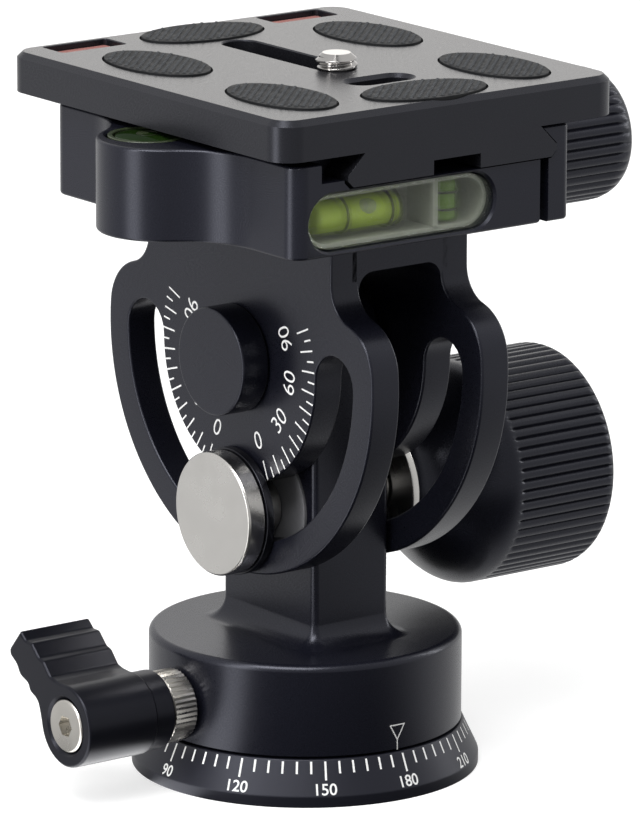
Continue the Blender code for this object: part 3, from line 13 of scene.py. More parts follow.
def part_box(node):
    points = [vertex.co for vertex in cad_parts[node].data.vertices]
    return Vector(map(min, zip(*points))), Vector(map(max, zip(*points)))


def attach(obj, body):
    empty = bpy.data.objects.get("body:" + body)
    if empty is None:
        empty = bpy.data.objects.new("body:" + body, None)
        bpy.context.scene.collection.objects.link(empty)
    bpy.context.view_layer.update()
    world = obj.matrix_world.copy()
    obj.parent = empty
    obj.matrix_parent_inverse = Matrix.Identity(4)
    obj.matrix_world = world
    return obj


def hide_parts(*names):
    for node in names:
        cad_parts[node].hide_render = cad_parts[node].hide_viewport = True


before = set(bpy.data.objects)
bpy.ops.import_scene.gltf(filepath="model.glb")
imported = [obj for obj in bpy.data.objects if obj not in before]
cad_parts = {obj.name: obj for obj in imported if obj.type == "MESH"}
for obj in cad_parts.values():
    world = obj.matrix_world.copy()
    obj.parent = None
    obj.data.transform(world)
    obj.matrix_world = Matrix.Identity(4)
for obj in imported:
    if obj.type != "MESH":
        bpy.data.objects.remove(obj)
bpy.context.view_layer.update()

# Fineness of round forms
WIDE_STEPS = 144
ROUND_STEPS = 96
SMALL_STEPS = 48
ARC_STEPS = 12
HEX_SIDES = 6
RIB_SAMPLES = 6
RIB_CREST = 0.62
EASE_SHARE = 0.45
SMOOTH_ANGLE = math.radians(32)
MERGE = 0.000001
OVERRUN = 0.002
GAP = 0.0003
FINE_EDGE = 0.00014

# The camera that took the photograph
CAMERA_AZIMUTH = math.radians(52.792)
CAMERA_ELEVATION = math.radians(13.79)
CAMERA_ROLL = math.radians(-0.198)
CAMERA_DISTANCE = 1.14226
CAMERA_LENS = 330.83
CAMERA_SENSOR = 36.0
TARGET_RIGHT = 0.00214
TARGET_HEIGHT = 0.055842


# Places read from the imported pieces

def low(node):
    """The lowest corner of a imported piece."""
    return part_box(node)[0]


def high(node):
    """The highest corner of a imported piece."""
    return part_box(node)[1]


def middle(node):
    """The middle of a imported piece."""
    return (low(node) + high(node)) / 2


TILT_HEIGHT = middle("pivot_axle").z
BOLT_HEIGHT = middle("bolt_washer").z
LOCK_HEIGHT = middle("lock_stud").z
ARM_OUTER = high("yoke").y
STEM_HALF = high("pivot_bush").y
YOKE_TOP = high("yoke").z
CLAMP_BOTTOM = low("clamp_body").z
CLAMP_TOP = high("clamp_body").z
CLAMP_AXIS = Vector((middle("clamp_knob").x, 0, middle("clamp_knob").z))
PLATE_TOP = low("camera_plate").z + 0.01106
PLATE_CENTRE_Y = middle("camera_plate").y
SCREW_X = middle("camera_screw").x


# Outlines

def arc(centre, radius, start, end, steps=ARC_STEPS):
    """Points along an arc, angles in degrees."""
    turn = (end - start) / steps
    angles = [math.radians(start + turn * i) for i in range(steps + 1)]
    return [(centre[0] + radius * math.cos(a), centre[1] + radius * math.sin(a)) for a in angles]


def circle(centre, radius, steps=ROUND_STEPS):
    """Points round a whole circle."""
    return arc(centre, radius, 0, 360, steps)[:-1]


def rounded_box(corner_a, corner_b, radius, steps=ARC_STEPS // 2):
    """A rectangle with round corners, between two opposite corner points."""
    left, bottom = corner_a[0] + radius, corner_a[1] + radius
    right, top = corner_b[0] - radius, corner_b[1] - radius
    return (arc((right, top), radius, 0, 90, steps) + arc((left, top), radius, 90, 180, steps)
            + arc((left, bottom), radius, 180, 270, steps) + arc((right, bottom), radius, 270, 360, steps))


def stadium(centre, half_length, radius, along_u=True):
    """A slot outline; half_length is from its centre to the far end of a round end."""
    reach = half_length - radius
    turn = 0 if along_u else 90
    step_u, step_v = (reach, 0) if along_u else (0, reach)
    near = arc((centre[0] + step_u, centre[1] + step_v), radius, turn - 90, turn + 90, 2 * ARC_STEPS)
    return near + arc((centre[0] - step_u, centre[1] - step_v), radius, turn + 90, turn + 270, 2 * ARC_STEPS)


def eased(profile, radius, closed=False, steps=4):
    """The same profile with its corners rounded."""
    points = [Vector(point) for point in profile]
    count = len(points)
    made = [] if closed else [points[0]]
    for i in range(0 if closed else 1, count if closed else count - 1):
        here = points[i]
        back, ahead = points[i - 1] - here, points[(i + 1) % count] - here
        room = min(radius, back.length * EASE_SHARE, ahead.length * EASE_SHARE)
        start, end = here + back.normalized() * room, here + ahead.normalized() * room
        for k in range(steps + 1):
            share = k / steps
            made.append(start.lerp(here, share).lerp(here.lerp(end, share), share))
    if not closed:
        made.append(points[-1])
    return made


# Solids

def spread(u, v, w, axis):
    """An outline point (u, v) at w along the axis: X takes (y, z), Y takes (x, z), Z takes (x, y)."""
    return {"X": (w, u, v), "Y": (u, w, v), "Z": (u, v, w)}[axis]


def solid(bm, name="shape"):
    """Turn a bmesh into an object with its faces pointing out."""
    bmesh.ops.remove_doubles(bm, verts=bm.verts, dist=MERGE)
    bmesh.ops.recalc_face_normals(bm, faces=bm.faces)
    mesh = bpy.data.meshes.new(name)
    bm.to_mesh(mesh)
    bm.free()
    made = bpy.data.objects.new(name, mesh)
    bpy.context.scene.collection.objects.link(made)
    return made


def prism(outline, axis, start, end, edge=0.0, rounds=3, both=True):
    """An outline extruded along an axis, its end edges rounded."""
    bm = bmesh.new()
    face = bm.faces.new([bm.verts.new(spread(u, v, start, axis)) for u, v in outline])
    moved = bmesh.ops.extrude_face_region(bm, geom=[face])["geom"]
    far = [item for item in moved if isinstance(item, bmesh.types.BMVert)]
    bmesh.ops.translate(bm, verts=far, vec=spread(0, 0, end - start, axis))
    if edge:
        bmesh.ops.recalc_face_normals(bm, faces=bm.faces)
        near = set(face.verts)
        rims = [e for e in bm.edges if set(e.verts) <= set(far) or (both and set(e.verts) <= near)]
        bmesh.ops.bevel(bm, geom=rims, offset=edge, segments=rounds, profile=0.5, affect="EDGES")
    return solid(bm)


def slab(loops, axis, start, end, edge, rounds=2):
    """A plate with holes, every edge of its outline and holes rounded."""
    curve = bpy.data.curves.new("slab", "CURVE")
    curve.dimensions = "2D"
    curve.fill_mode = "BOTH"
    for loop in loops:
        path = curve.splines.new("POLY")
        path.points.add(len(loop) - 1)
        for point, (u, v) in zip(path.points, loop):
            point.co = (u, v, 0, 1)
        path.use_cyclic_u = True
    curve.extrude = abs(end - start) / 2 - edge
    curve.bevel_depth = edge
    curve.bevel_resolution = rounds
    curve.offset = -edge
    bm = evaluated(curve)
    centre = (start + end) / 2
    for vertex in bm.verts:
        u, v, w = vertex.co
        vertex.co = spread(u, v, w + centre, axis)
    return solid(bm)


def evaluated(data):
    """The mesh that a curve or text makes, as a bmesh, with the curve removed."""
    guide = bpy.data.objects.new("guide", data)
    bpy.context.scene.collection.objects.link(guide)
    bpy.context.view_layer.update()
    seen = guide.evaluated_get(bpy.context.evaluated_depsgraph_get())
    bm = bmesh.new()
    bm.from_mesh(bpy.data.meshes.new_from_object(seen))
    bpy.data.objects.remove(guide, do_unlink=True)
    return bm


def loft(sections, closed=True):
    """Rings of equal point count joined in order."""
    bm = bmesh.new()
    rings = [[bm.verts.new(point) for point in section] for section in sections]
    for lower, upper in zip(rings, rings[1:]):
        for i in range(len(lower)):
            j = (i + 1) % len(lower)
            bm.faces.new((lower[i], lower[j], upper[j], upper[i]))
    if closed:
        bm.faces.new(rings[0])
        bm.faces.new(rings[-1])
    return solid(bm)


def aim(direction):
    """The rotation that turns +Z to a direction."""
    return Vector((0, 0, 1)).rotation_difference(Vector(direction)).to_matrix()


def turned(profile, centre=(0, 0, 0), direction=(0, 0, 1), steps=ROUND_STEPS, ease=0.0):
    """A (radius, height) profile turned about an axis through centre along direction."""
    closed = profile[0][0] > 0
    if ease:
        profile = eased(profile, ease, closed)
    bm = bmesh.new()
    points = [bm.verts.new((radius, 0, height)) for radius, height in profile]
    edges = [bm.edges.new(pair) for pair in zip(points, points[1:])]
    if closed:
        edges.append(bm.edges.new((points[-1], points[0])))
    bmesh.ops.spin(bm, geom=points + edges, cent=(0, 0, 0), axis=(0, 0, 1),
                   angle=math.tau, steps=steps, use_merge=True)
    bmesh.ops.remove_doubles(bm, verts=bm.verts, dist=MERGE)
    bmesh.ops.rotate(bm, verts=bm.verts, cent=(0, 0, 0), matrix=aim(direction))
    bmesh.ops.translate(bm, verts=bm.verts, vec=centre)
    return solid(bm)


def rod(radius, start, end, centre=(0, 0, 0), direction=(0, 0, 1), steps=SMALL_STEPS, ease=0.0):
    """A cylinder between two heights along an axis."""
    return turned([(0, start), (radius, start), (radius, end), (0, end)], centre, direction, steps, ease)


def tube(outer, inner, start, end, centre=(0, 0, 0), direction=(0, 0, 1), steps=ROUND_STEPS, ease=0.0):
    """A sleeve between two heights along an axis."""
    profile = [(outer, start), (outer, end), (inner, end), (inner, start)]
    return turned(profile, centre, direction, steps, ease)


def combine(target, others, operation):
    """Apply Boolean operations to an object and remove the shapes used up."""
    for other in others:
        step = target.modifiers.new(operation.title(), "BOOLEAN")
        step.operation = operation
        step.solver = "EXACT"
        step.object = other
    bpy.context.view_layer.update()
    seen = target.evaluated_get(bpy.context.evaluated_depsgraph_get())
    result = bpy.data.meshes.new_from_object(seen)
    target.modifiers.clear()
    target.data = result
    for other in others:
        bpy.data.objects.remove(other, do_unlink=True)
    return target


def cut(target, *cutters):
    """Take shapes out of an object."""
    return combine(target, cutters, "DIFFERENCE")


def join(target, *others):
    """Fuse shapes onto an object."""
    return combine(target, others, "UNION")


def bundle(*shapes):
    """Put several shapes into one mesh without fusing them."""
    bm = bmesh.new()
    for shape in shapes:
        bm.from_mesh(shape.data)
        bpy.data.objects.remove(shape, do_unlink=True)
    return solid(bm)


def dress(made, name, material, body, slot, *nodes, edge=0.0):
    """Finish a piece: name, material, even shading, the body it rides on and the nodes it stands for.

    An edge above zero rounds every sharp edge of the piece by that much.
    """
    made.name = name
    made.data.name = name
    made.data.materials.clear()
    made.data.materials.append(material)
    for face in made.data.polygons:
        face.material_index = 0
    made.data.shade_smooth()
    made.data.set_sharp_from_angle(angle=SMOOTH_ANGLE)
    if edge:
        rounding = made.modifiers.new("Edges", "BEVEL")
        rounding.limit_method = "ANGLE"
        rounding.angle_limit = SMOOTH_ANGLE
        rounding.width = edge
        rounding.segments = 2
    even = made.modifiers.new("Even", "WEIGHTED_NORMAL")
    even.keep_sharp = True
    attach(made, body)
    if nodes:
        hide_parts(*nodes)
    return made


# Materials

PAD_RELIEF = 0.00022
# The rubber's groove colour is darkened as painted shade between the bumps
RUBBER_GROOVE_SHADE = (0.0040, 0.0045, 0.0055)
RUBBER_PALE = (0.036, 0.039, 0.043)
SATIN_GLOSS = 0.42
LEVER_GLOSS = 0.24
RUBBER_GLOSS = 0.3
SATIN_TINT = (0.84, 0.86, 1.0, 1)
SATIN_GRAIN = 6500.0
BRASS_GRAIN = 2600.0
GRAIN_DEPTH = 0.00004
LATHE_DEPTH = 0.00002
SPECK_DEPTH = 0.00003
WORN_SHARE = 0.86
NOISE_SPREAD = (0.3, 0.7)
PATCH_SCALE = 90.0
LATHE_SCALE = 900.0
LATHE_DISTORTION = 1.2
WEAR_SCALE = 260.0
DUST_SCALE = 700.0
RUBBER_GRAIN = 9000.0
RUBBER_ROUGH = (0.55, 0.75)
LIQUID_INDEX = 1.36
LIQUID_ROUGH = (0.04, 0.12)
LIQUID_SCALE = 220.0
SPECK_SCALE = 1400.0


def blank(name):
    """A material with its tree and its Principled shader."""
    made = bpy.data.materials.new(name)
    made.use_nodes = True
    return made, made.node_tree, made.node_tree.nodes["Principled BSDF"]


def add_node(tree, kind, values, links):
    """A node of a tree, with the values and the links of its inputs."""
    made = tree.nodes.new("ShaderNode" + kind)
    for socket, value in values.items():
        made.inputs[socket].default_value = value
    for socket, source in links.items():
        tree.links.new(source, made.inputs[socket])
    return made


def place_in(tree, space="Object"):
    """Coordinates that stay with the piece."""
    return tree.nodes.new("ShaderNodeTexCoord").outputs[space]


def cloud(tree, scale, detail=3.0):
    """A noise value; scale is in features per metre."""
    noise = add_node(tree, "TexNoise", {"Scale": scale, "Detail": detail}, {"Vector": place_in(tree)})
    return noise.outputs["Fac"]


def ranged(tree, value, source, target, smooth=False):
    """A node that brings a value from one range to another."""
    values = {"From Min": source[0], "From Max": source[1], "To Min": target[0], "To Max": target[1]}
    made = add_node(tree, "MapRange", values, {"Value": value})
    if smooth:
        made.interpolation_type = "SMOOTHSTEP"
    return made


def span_of(tree, noise, span):
    """The usual spread of a noise brought to a span."""
    return ranged(tree, noise, NOISE_SPREAD, span).outputs["Result"]


def blend_colours(tree, value, first, second):
    """A colour between two colours."""
    mix = tree.nodes.new("ShaderNodeMix")
    mix.data_type = "RGBA"
    mix.inputs["A"].default_value = (*first, 1)
    mix.inputs["B"].default_value = (*second, 1)
    tree.links.new(value, mix.inputs["Factor"])
    return mix.outputs["Result"]


def coat(tree, shader, colour, roughness, values):
    """Lead a colour and a roughness to a shader and set its uniform values."""
    tree.links.new(colour, shader.inputs["Base Color"])
    tree.links.new(roughness, shader.inputs["Roughness"])
    for socket, value in values.items():
        shader.inputs[socket].default_value = value


def raise_surface(tree, shader, value, strength, depth):
    """Small relief from a value."""
    bump = add_node(tree, "Bump", {"Strength": strength, "Distance": depth}, {"Height": value})
    tree.links.new(bump.outputs["Normal"], shader.inputs["Normal"])


def satin(name, dark, light, rough, grain=SATIN_GRAIN, metallic=0.0, gloss=SATIN_GLOSS):
    """Fine blasted and anodised metal."""
    made, tree, shader = blank(name)
    fine = cloud(tree, grain, 2.0)
    coat(tree, shader, blend_colours(tree, cloud(tree, PATCH_SCALE), dark, light), span_of(tree, fine, rough),
         {"Metallic": metallic, "Specular IOR Level": gloss, "Specular Tint": SATIN_TINT})
    raise_surface(tree, shader, fine, 0.08, GRAIN_DEPTH)
    return made


def turned_steel(name, colour, centre, rough, stretch=(1, 0, 1)):
    """Bright steel with the fine rings that a lathe leaves about an axis."""
    made, tree, shader = blank(name)
    shift = tuple(-value * share for value, share in zip(centre, stretch))
    place = add_node(tree, "Mapping", {"Location": shift, "Scale": stretch}, {"Vector": place_in(tree)})
    values = {"Scale": LATHE_SCALE, "Distortion": LATHE_DISTORTION, "Detail": 3.0}
    rings = add_node(tree, "TexWave", values, {"Vector": place.outputs["Vector"]})
    rings.wave_type = "RINGS"
    rings.rings_direction = "SPHERICAL"
    wear = cloud(tree, WEAR_SCALE)
    worn = tuple(value * WORN_SHARE for value in colour)
    coat(tree, shader, blend_colours(tree, wear, worn, colour), span_of(tree, wear, rough), {"Metallic": 1.0})
    raise_surface(tree, shader, rings.outputs["Fac"], 0.05, LATHE_DEPTH)
    return made


def soft_rubber(name):
    """Matt black rubber, with painted shade that darkens the grooves between its bumps and leaves the crowns
    paler.
    """
    made, tree, shader = blank(name)
    height = add_node(tree, "SeparateXYZ", {}, {"Vector": place_in(tree)}).outputs["Z"]
    crown = high("grip_pad_1").z
    # Painted shade: the colour darkens from the bump crowns down into the grooves
    rise = ranged(tree, height, (crown - PAD_RELIEF, crown), (0.0, 1.0), True).outputs["Result"]
    coat(tree, shader, blend_colours(tree, rise, RUBBER_GROOVE_SHADE, RUBBER_PALE),
         span_of(tree, cloud(tree, DUST_SCALE, 4.0), RUBBER_ROUGH), {"Specular IOR Level": RUBBER_GLOSS})
    raise_surface(tree, shader, cloud(tree, RUBBER_GRAIN), 0.3, GRAIN_DEPTH)
    return made


def see_through(name, first, second, rough, scale, values):
    """Clear plastic or liquid."""
    made, tree, shader = blank(name)
    flow = cloud(tree, scale, 2.0)
    coat(tree, shader, blend_colours(tree, flow, first, second), span_of(tree, flow, rough), values)
    return made


def liquid(name, bright, deep, clear_share):
    """The coloured liquid of a spirit level."""
    values = {"Transmission Weight": clear_share, "IOR": LIQUID_INDEX}
    return see_through(name, bright, deep, LIQUID_ROUGH, LIQUID_SCALE, values)


def moulded(name, dark, light, rough, scale=SPECK_SCALE):
    """Plain moulded plastic or paint with a slight texture."""
    made, tree, shader = blank(name)
    speck = cloud(tree, scale)
    coat(tree, shader, blend_colours(tree, speck, dark, light), span_of(tree, speck, rough), {})
    raise_surface(tree, shader, speck, 0.1, SPECK_DEPTH)
    return made


BLACK = satin("anodised_black", (0.0040, 0.0042, 0.0075), (0.0056, 0.0059, 0.0100), (0.25, 0.33))
DEEP_BLACK = satin("anodised_deep_black", (0.0030, 0.0030, 0.0040), (0.0045, 0.0045, 0.0060), (0.20, 0.28))
PLATE_BLACK = satin("anodised_plate", (0.0050, 0.0051, 0.0066), (0.0080, 0.0081, 0.0098), (0.25, 0.33))
BASE_BLACK = satin("anodised_ring", (0.0040, 0.0042, 0.0075), (0.0056, 0.0059, 0.0100), (0.40, 0.48))
LEVER_BLACK = satin("anodised_lever", (0.0036, 0.0037, 0.0058), (0.0050, 0.0052, 0.0078), (0.28, 0.36),
                    gloss=LEVER_GLOSS)
BRASS = satin("brass", (0.52, 0.38, 0.17), (0.66, 0.50, 0.24), (0.26, 0.38), BRASS_GRAIN, 1.0)
HEAD_STEEL = turned_steel("turned_steel_head", (0.66, 0.645, 0.62), (0, 0, BOLT_HEIGHT), (0.20, 0.30))
STUD_STEEL = turned_steel("turned_steel_stud", (0.60, 0.58, 0.54), (0, 0, LOCK_HEIGHT), (0.22, 0.34))
SCREW_STEEL = turned_steel("turned_steel_screw", (0.50, 0.485, 0.47), (SCREW_X, PLATE_CENTRE_Y, 0),
                           (0.12, 0.22), (1, 1, 0))
INNER_STEEL = turned_steel("plain_steel", (0.58, 0.57, 0.55), (0, 0, TILT_HEIGHT), (0.26, 0.38))
POLYMER = moulded("washer_polymer", (0.15, 0.15, 0.16), (0.21, 0.21, 0.22), (0.45, 0.60))
RUBBER = soft_rubber("grip_rubber")
RED = moulded("insert_red", (0.22, 0.085, 0.075), (0.28, 0.11, 0.095), (0.50, 0.65))
INK = moulded("white_ink", (0.72, 0.72, 0.72), (0.82, 0.82, 0.81), (0.50, 0.65), 3000.0)
RING_PAINT = moulded("level_ring_paint", (0.010, 0.012, 0.006), (0.018, 0.020, 0.010), (0.35, 0.50))
TRAY_WHITE = moulded("level_tray", (0.20, 0.22, 0.17), (0.32, 0.34, 0.28), (0.35, 0.50))
# Darkened as painted shade: the plate's shadow over the bullseye
CUP_GREEN_SHADED = moulded("level_cup", (0.020, 0.028, 0.014), (0.032, 0.042, 0.020), (0.20, 0.32))
BUBBLE = moulded("level_bubble", (0.16, 0.21, 0.08), (0.30, 0.36, 0.18), (0.05, 0.12), 600.0)
CLEAR = see_through("clear_acrylic", (0.96, 0.98, 0.96), (0.93, 0.95, 0.93), (0.02, 0.07), 160.0,
                    {"Transmission Weight": 1.0, "IOR": 1.46, "Alpha": 0.22})
LONG_FLUID = liquid("level_liquid_long", (0.44, 0.60, 0.06), (0.36, 0.50, 0.05), 0.15)
SHORT_FLUID = liquid("level_liquid_short", (0.19, 0.34, 0.05), (0.14, 0.26, 0.04), 0.15)
# Darkened as painted shade: the plate's shadow over the bullseye
ROUND_FLUID_SHADED = liquid("level_liquid_round", (0.010, 0.024, 0.004), (0.006, 0.015, 0.003), 0.05)


# Printing

def glyphs(text, height, weight=0.0):
    """Plain figures as a flat mesh of a given height, centred on zero."""
    curve = bpy.data.curves.new("figures", "FONT")
    curve.body = text
    curve.size = 1.0
    curve.offset = weight
    bm = evaluated(curve)
    tops = [vertex.co.y for vertex in bm.verts]
    sides = [vertex.co.x for vertex in bm.verts]
    scale = height / (max(tops) - min(tops))
    shift_u, shift_v = (max(sides) + min(sides)) / 2, (max(tops) + min(tops)) / 2
    for vertex in bm.verts:
        vertex.co = ((vertex.co.x - shift_u) * scale, (vertex.co.y - shift_v) * scale, 0)
    return bm


def bar(length, width):
    """A straight printed stroke along v, centred on zero, cut across so that it can bend."""
    bm = bmesh.new()
    cuts = 4
    rows = []
    for i in range(cuts + 1):
        v = (i / cuts - 0.5) * length
        rows.append((bm.verts.new((-width / 2, v, 0)), bm.verts.new((width / 2, v, 0))))
    for (a, b), (c, d) in zip(rows, rows[1:]):
        bm.faces.new((a, b, d, c))
    return bm


def printed(marks, onto):
    """Join flat marks, each laid on a surface by onto(mark's own placing, u, v)."""
    whole = bmesh.new()
    for bm, placing in marks:
        for vertex in bm.verts:
            vertex.co = onto(placing, vertex.co.x, vertex.co.y)
        mesh = bpy.data.meshes.new("mark")
        bm.to_mesh(mesh)
        bm.free()
        whole.from_mesh(mesh)
        bpy.data.meshes.remove(mesh)
    mesh = bpy.data.meshes.new("print")
    whole.to_mesh(mesh)
    whole.free()
    made = bpy.data.objects.new("print", mesh)
    bpy.context.scene.collection.objects.link(made)
    return made


# Base ring

RING_LIP = 0.0017
RING_LIP_RADIUS = high("scale_ring").x
RING_TOP_RADIUS = 0.0243
RING_HEIGHT = high("scale_ring").z
RING_EASE = 0.00018
INK_LIFT = 0.00003
RING_TICK_START = 0.0003
RING_TICK_SHORT = 0.0022
RING_TICK_LONG = 0.0032
RING_TICK_WIDTH = 0.00032
RING_FIGURE_PLACE = 0.0046
RING_FIGURE_HEIGHT = 0.0018
RING_FIGURE_WEIGHT = 0.012
RING_ZERO_SHIFT = 0.1
TICK_DEGREES = 5
FIGURE_DEGREES = 30
MOUNT_RADIUS = 0.0047625
MOUNT_PITCH = 0.0015875
MOUNT_DEPTH = 0.0008
MOUNT_ROWS = 72
MOUNT_START_SHARE = 0.02
MOUNT_LEAD_SHARE = 1 / 12
FLANGE_THICKNESS = 0.0023
FLANGE_EASE = 0.00015


def cone_point(placing, u, v):
    """A point of the ring's cone: placing is its dial angle and its distance down the slope."""
    dial, down = placing
    slope = Vector((RING_LIP_RADIUS - RING_TOP_RADIUS, RING_LIP - RING_HEIGHT))
    outward = Vector((RING_HEIGHT - RING_LIP, RING_LIP_RADIUS - RING_TOP_RADIUS)).normalized()
    spot = Vector((RING_TOP_RADIUS, RING_HEIGHT)) + slope.normalized() * (down - v) + outward * INK_LIFT
    angle = math.radians(dial + RING_ZERO_SHIFT - 180) + u / spot.x
    return (spot.x * math.cos(angle), spot.x * math.sin(angle), spot.y)


def base():
    """The graduated ring with its scale."""
    spindle = high("pan_spindle").x
    profile = [(RING_LIP_RADIUS, 0), (RING_LIP_RADIUS, RING_LIP), (RING_TOP_RADIUS, RING_HEIGHT),
               (spindle - OVERRUN, RING_HEIGHT), (spindle + GAP, 0)]
    ring = turned(profile, steps=WIDE_STEPS, ease=RING_EASE)
    dress(ring, "graduated_ring", BASE_BLACK, "base", "satin_black", "scale_ring")
    marks = []
    for dial in range(0, 360, TICK_DEGREES):
        end = RING_TICK_SHORT if dial % FIGURE_DEGREES else RING_TICK_LONG
        marks.append((bar(end - RING_TICK_START, RING_TICK_WIDTH), (dial, (end + RING_TICK_START) / 2)))
        if dial % FIGURE_DEGREES == 0:
            figure = glyphs(str(dial), RING_FIGURE_HEIGHT, RING_FIGURE_WEIGHT)
            marks.append((figure, (dial, RING_FIGURE_PLACE)))
    dress(printed(marks, cone_point), "ring_scale_print", INK, "base", "satin_black")


def mounting_thread():
    """The bushing with its thread, which fades in at the mouth, and the spindle's flange round it."""
    bottom, top = low("thread_bushing").z, high("thread_bushing").z
    outer = high("thread_bushing").x
    rows = []
    for j in range(MOUNT_ROWS + 1):
        share = j / MOUNT_ROWS
        height = bottom + share * (top - bottom)
        depth = MOUNT_DEPTH * min(1, (share + MOUNT_START_SHARE) / MOUNT_LEAD_SHARE)
        rows.append([])
        for i in range(SMALL_STEPS):
            phase = (height / MOUNT_PITCH - i / SMALL_STEPS) % 1
            radius = MOUNT_RADIUS - depth * (1 - abs(2 * phase - 1))
            angle = math.tau * i / SMALL_STEPS
            rows[-1].append((radius * math.cos(angle), radius * math.sin(angle), height))
    rows += [[(u, v, height) for u, v in circle((0, 0), outer, SMALL_STEPS)] for height in (top, bottom)]
    dress(loft(rows + rows[:1], False), "mounting_thread", BRASS, "base", "brass", "thread_bushing")
    plate = tube(high("pan_spindle").x, outer + GAP, 0, FLANGE_THICKNESS, steps=WIDE_STEPS, ease=FLANGE_EASE)
    dress(plate, "spindle_flange", INNER_STEEL, "base", "steel")


# Pan head

HOUSING_RADIUS = high("pan_housing").x
HOUSING_BOTTOM = low("pan_housing").z
HOUSING_TOP = 0.0215
HOUSING_ROUND = 0.0011
HOUSING_ROUND_STEPS = 8
HOUSING_BORE = 0.0113
STEM_HALF_WIDTH = 0.01167
STEM_CORNER = 0.0010
STEM_FOOT = 0.0036
STEM_BOSS = 0.0102
SHOULDER_DROP = 0.0072
PIVOT_BORE = 0.0068
FRICTION_SEAT = 0.0098
FRICTION_FLOOR = low("friction_washer_rear").y - GAP
STUD_BORE = 0.0042
RETAINER_BORE = 0.0023
RETAINER_RADIUS = 0.0020
RETAINER_LENGTH = 0.0060
RETAINER_KEY = 0.0010
RETAINER_KEY_DEPTH = 0.0014
RETAINER_EASE = 0.0002
BOLT_HOLE = 0.0033
BOLT_SHANK = 0.0030
BOLT_HEAD_THICKNESS = 0.00297
BOLT_HEAD_CHAMFER = 0.0003
BOLT_EASE = 0.00012
WASHER_EASE = 0.00015
BRAKE_EASE = 0.00008
POINTER_ANGLE = math.radians(-1.6)
POINTER_FOOT = HOUSING_BOTTOM + 0.0001
POINTER_TIP = POINTER_FOOT + 0.0015
POINTER_TOP = POINTER_TIP + 0.0023
POINTER_HALF_WIDTH = 0.0013
POINTER_STROKE = 0.00019
LOCK_AXIS = (0, 0, LOCK_HEIGHT)
BOLT_AXIS = (0, 0, BOLT_HEIGHT)
TILT_AXIS = (0, 0, TILT_HEIGHT)
FRONT = (0, -1, 0)
REAR = (0, 1, 0)


def stem_outline():
    """The stem seen from the front: straight sides, sloping shoulders and a round boss."""
    foot = HOUSING_TOP - HOUSING_ROUND
    shoulder = TILT_HEIGHT - SHOULDER_DROP
    reach = math.hypot(STEM_HALF_WIDTH, SHOULDER_DROP)
    start = math.degrees(math.atan2(-SHOULDER_DROP, STEM_HALF_WIDTH) + math.acos(STEM_BOSS / reach))
    boss = arc((0, TILT_HEIGHT), STEM_BOSS, start, 180 - start, 3 * ARC_STEPS)
    return ([(STEM_HALF_WIDTH, foot), (STEM_HALF_WIDTH, shoulder)] + boss
            + [(-STEM_HALF_WIDTH, shoulder), (-STEM_HALF_WIDTH, foot)])


def stem_foot():
    """The hollow curve that spreads the stem onto the housing."""
    sections = []
    for i in range(ARC_STEPS + 1):
        angle = math.radians(90 * i / ARC_STEPS)
        grown = STEM_FOOT * (1 - math.sin(angle)) - MERGE * i
        height = HOUSING_TOP + STEM_FOOT * (1 - math.cos(angle))
        half_u, half_v = STEM_HALF_WIDTH + grown, STEM_HALF + grown
        ring = rounded_box((-half_u, -half_v), (half_u, half_v), STEM_CORNER + grown)
        sections.append([(u, v, height) for u, v in ring])
    base_ring = [(u, v, HOUSING_TOP - HOUSING_ROUND) for u, v, height in sections[0]]
    return loft([base_ring] + sections)


def drum_point(placing, u, v):
    """A point of the housing's side: placing is an angle and a height."""
    angle, height = placing
    turn = angle + u / HOUSING_RADIUS
    radius = HOUSING_RADIUS + INK_LIFT
    return (radius * math.cos(turn), radius * math.sin(turn), height + v)


def pointer_marks():
    """The printed pointer: three strokes of a triangle and a stem."""
    tip, foot = Vector((0, POINTER_TIP)), Vector((0, POINTER_FOOT))
    corners = [Vector((-POINTER_HALF_WIDTH, POINTER_TOP)), Vector((POINTER_HALF_WIDTH, POINTER_TOP)), tip]
    marks = []
    for start, end in list(zip(corners, corners[1:] + corners[:1])) + [(tip, foot)]:
        along = end - start
        bm = bar(along.length + POINTER_STROKE, POINTER_STROKE)
        lean = Matrix.Rotation(math.atan2(along.y, along.x) - math.pi / 2, 2)
        centre = (start + end) / 2
        for vertex in bm.verts:
            spot = lean @ Vector((vertex.co.x, vertex.co.y)) + centre
            vertex.co = (spot.x, spot.y, 0)
        marks.append((bm, (POINTER_ANGLE, 0.0)))
    return marks


def retaining_screw(node, direction):
    """A grub screw that holds the housing on the spindle."""
    end = HOUSING_RADIUS - HOUSING_ROUND
    floor_place = end - RETAINER_KEY_DEPTH
    screw = rod(RETAINER_RADIUS, end - RETAINER_LENGTH, end, LOCK_AXIS, direction, ease=RETAINER_EASE)
    key = turned([(0, floor_place), (RETAINER_KEY, floor_place), (RETAINER_KEY, end + OVERRUN),
                  (0, end + OVERRUN)], LOCK_AXIS, direction, HEX_SIDES)
    dress(cut(screw, key), node + "_fine", INNER_STEEL, "pan_head", "steel", node)


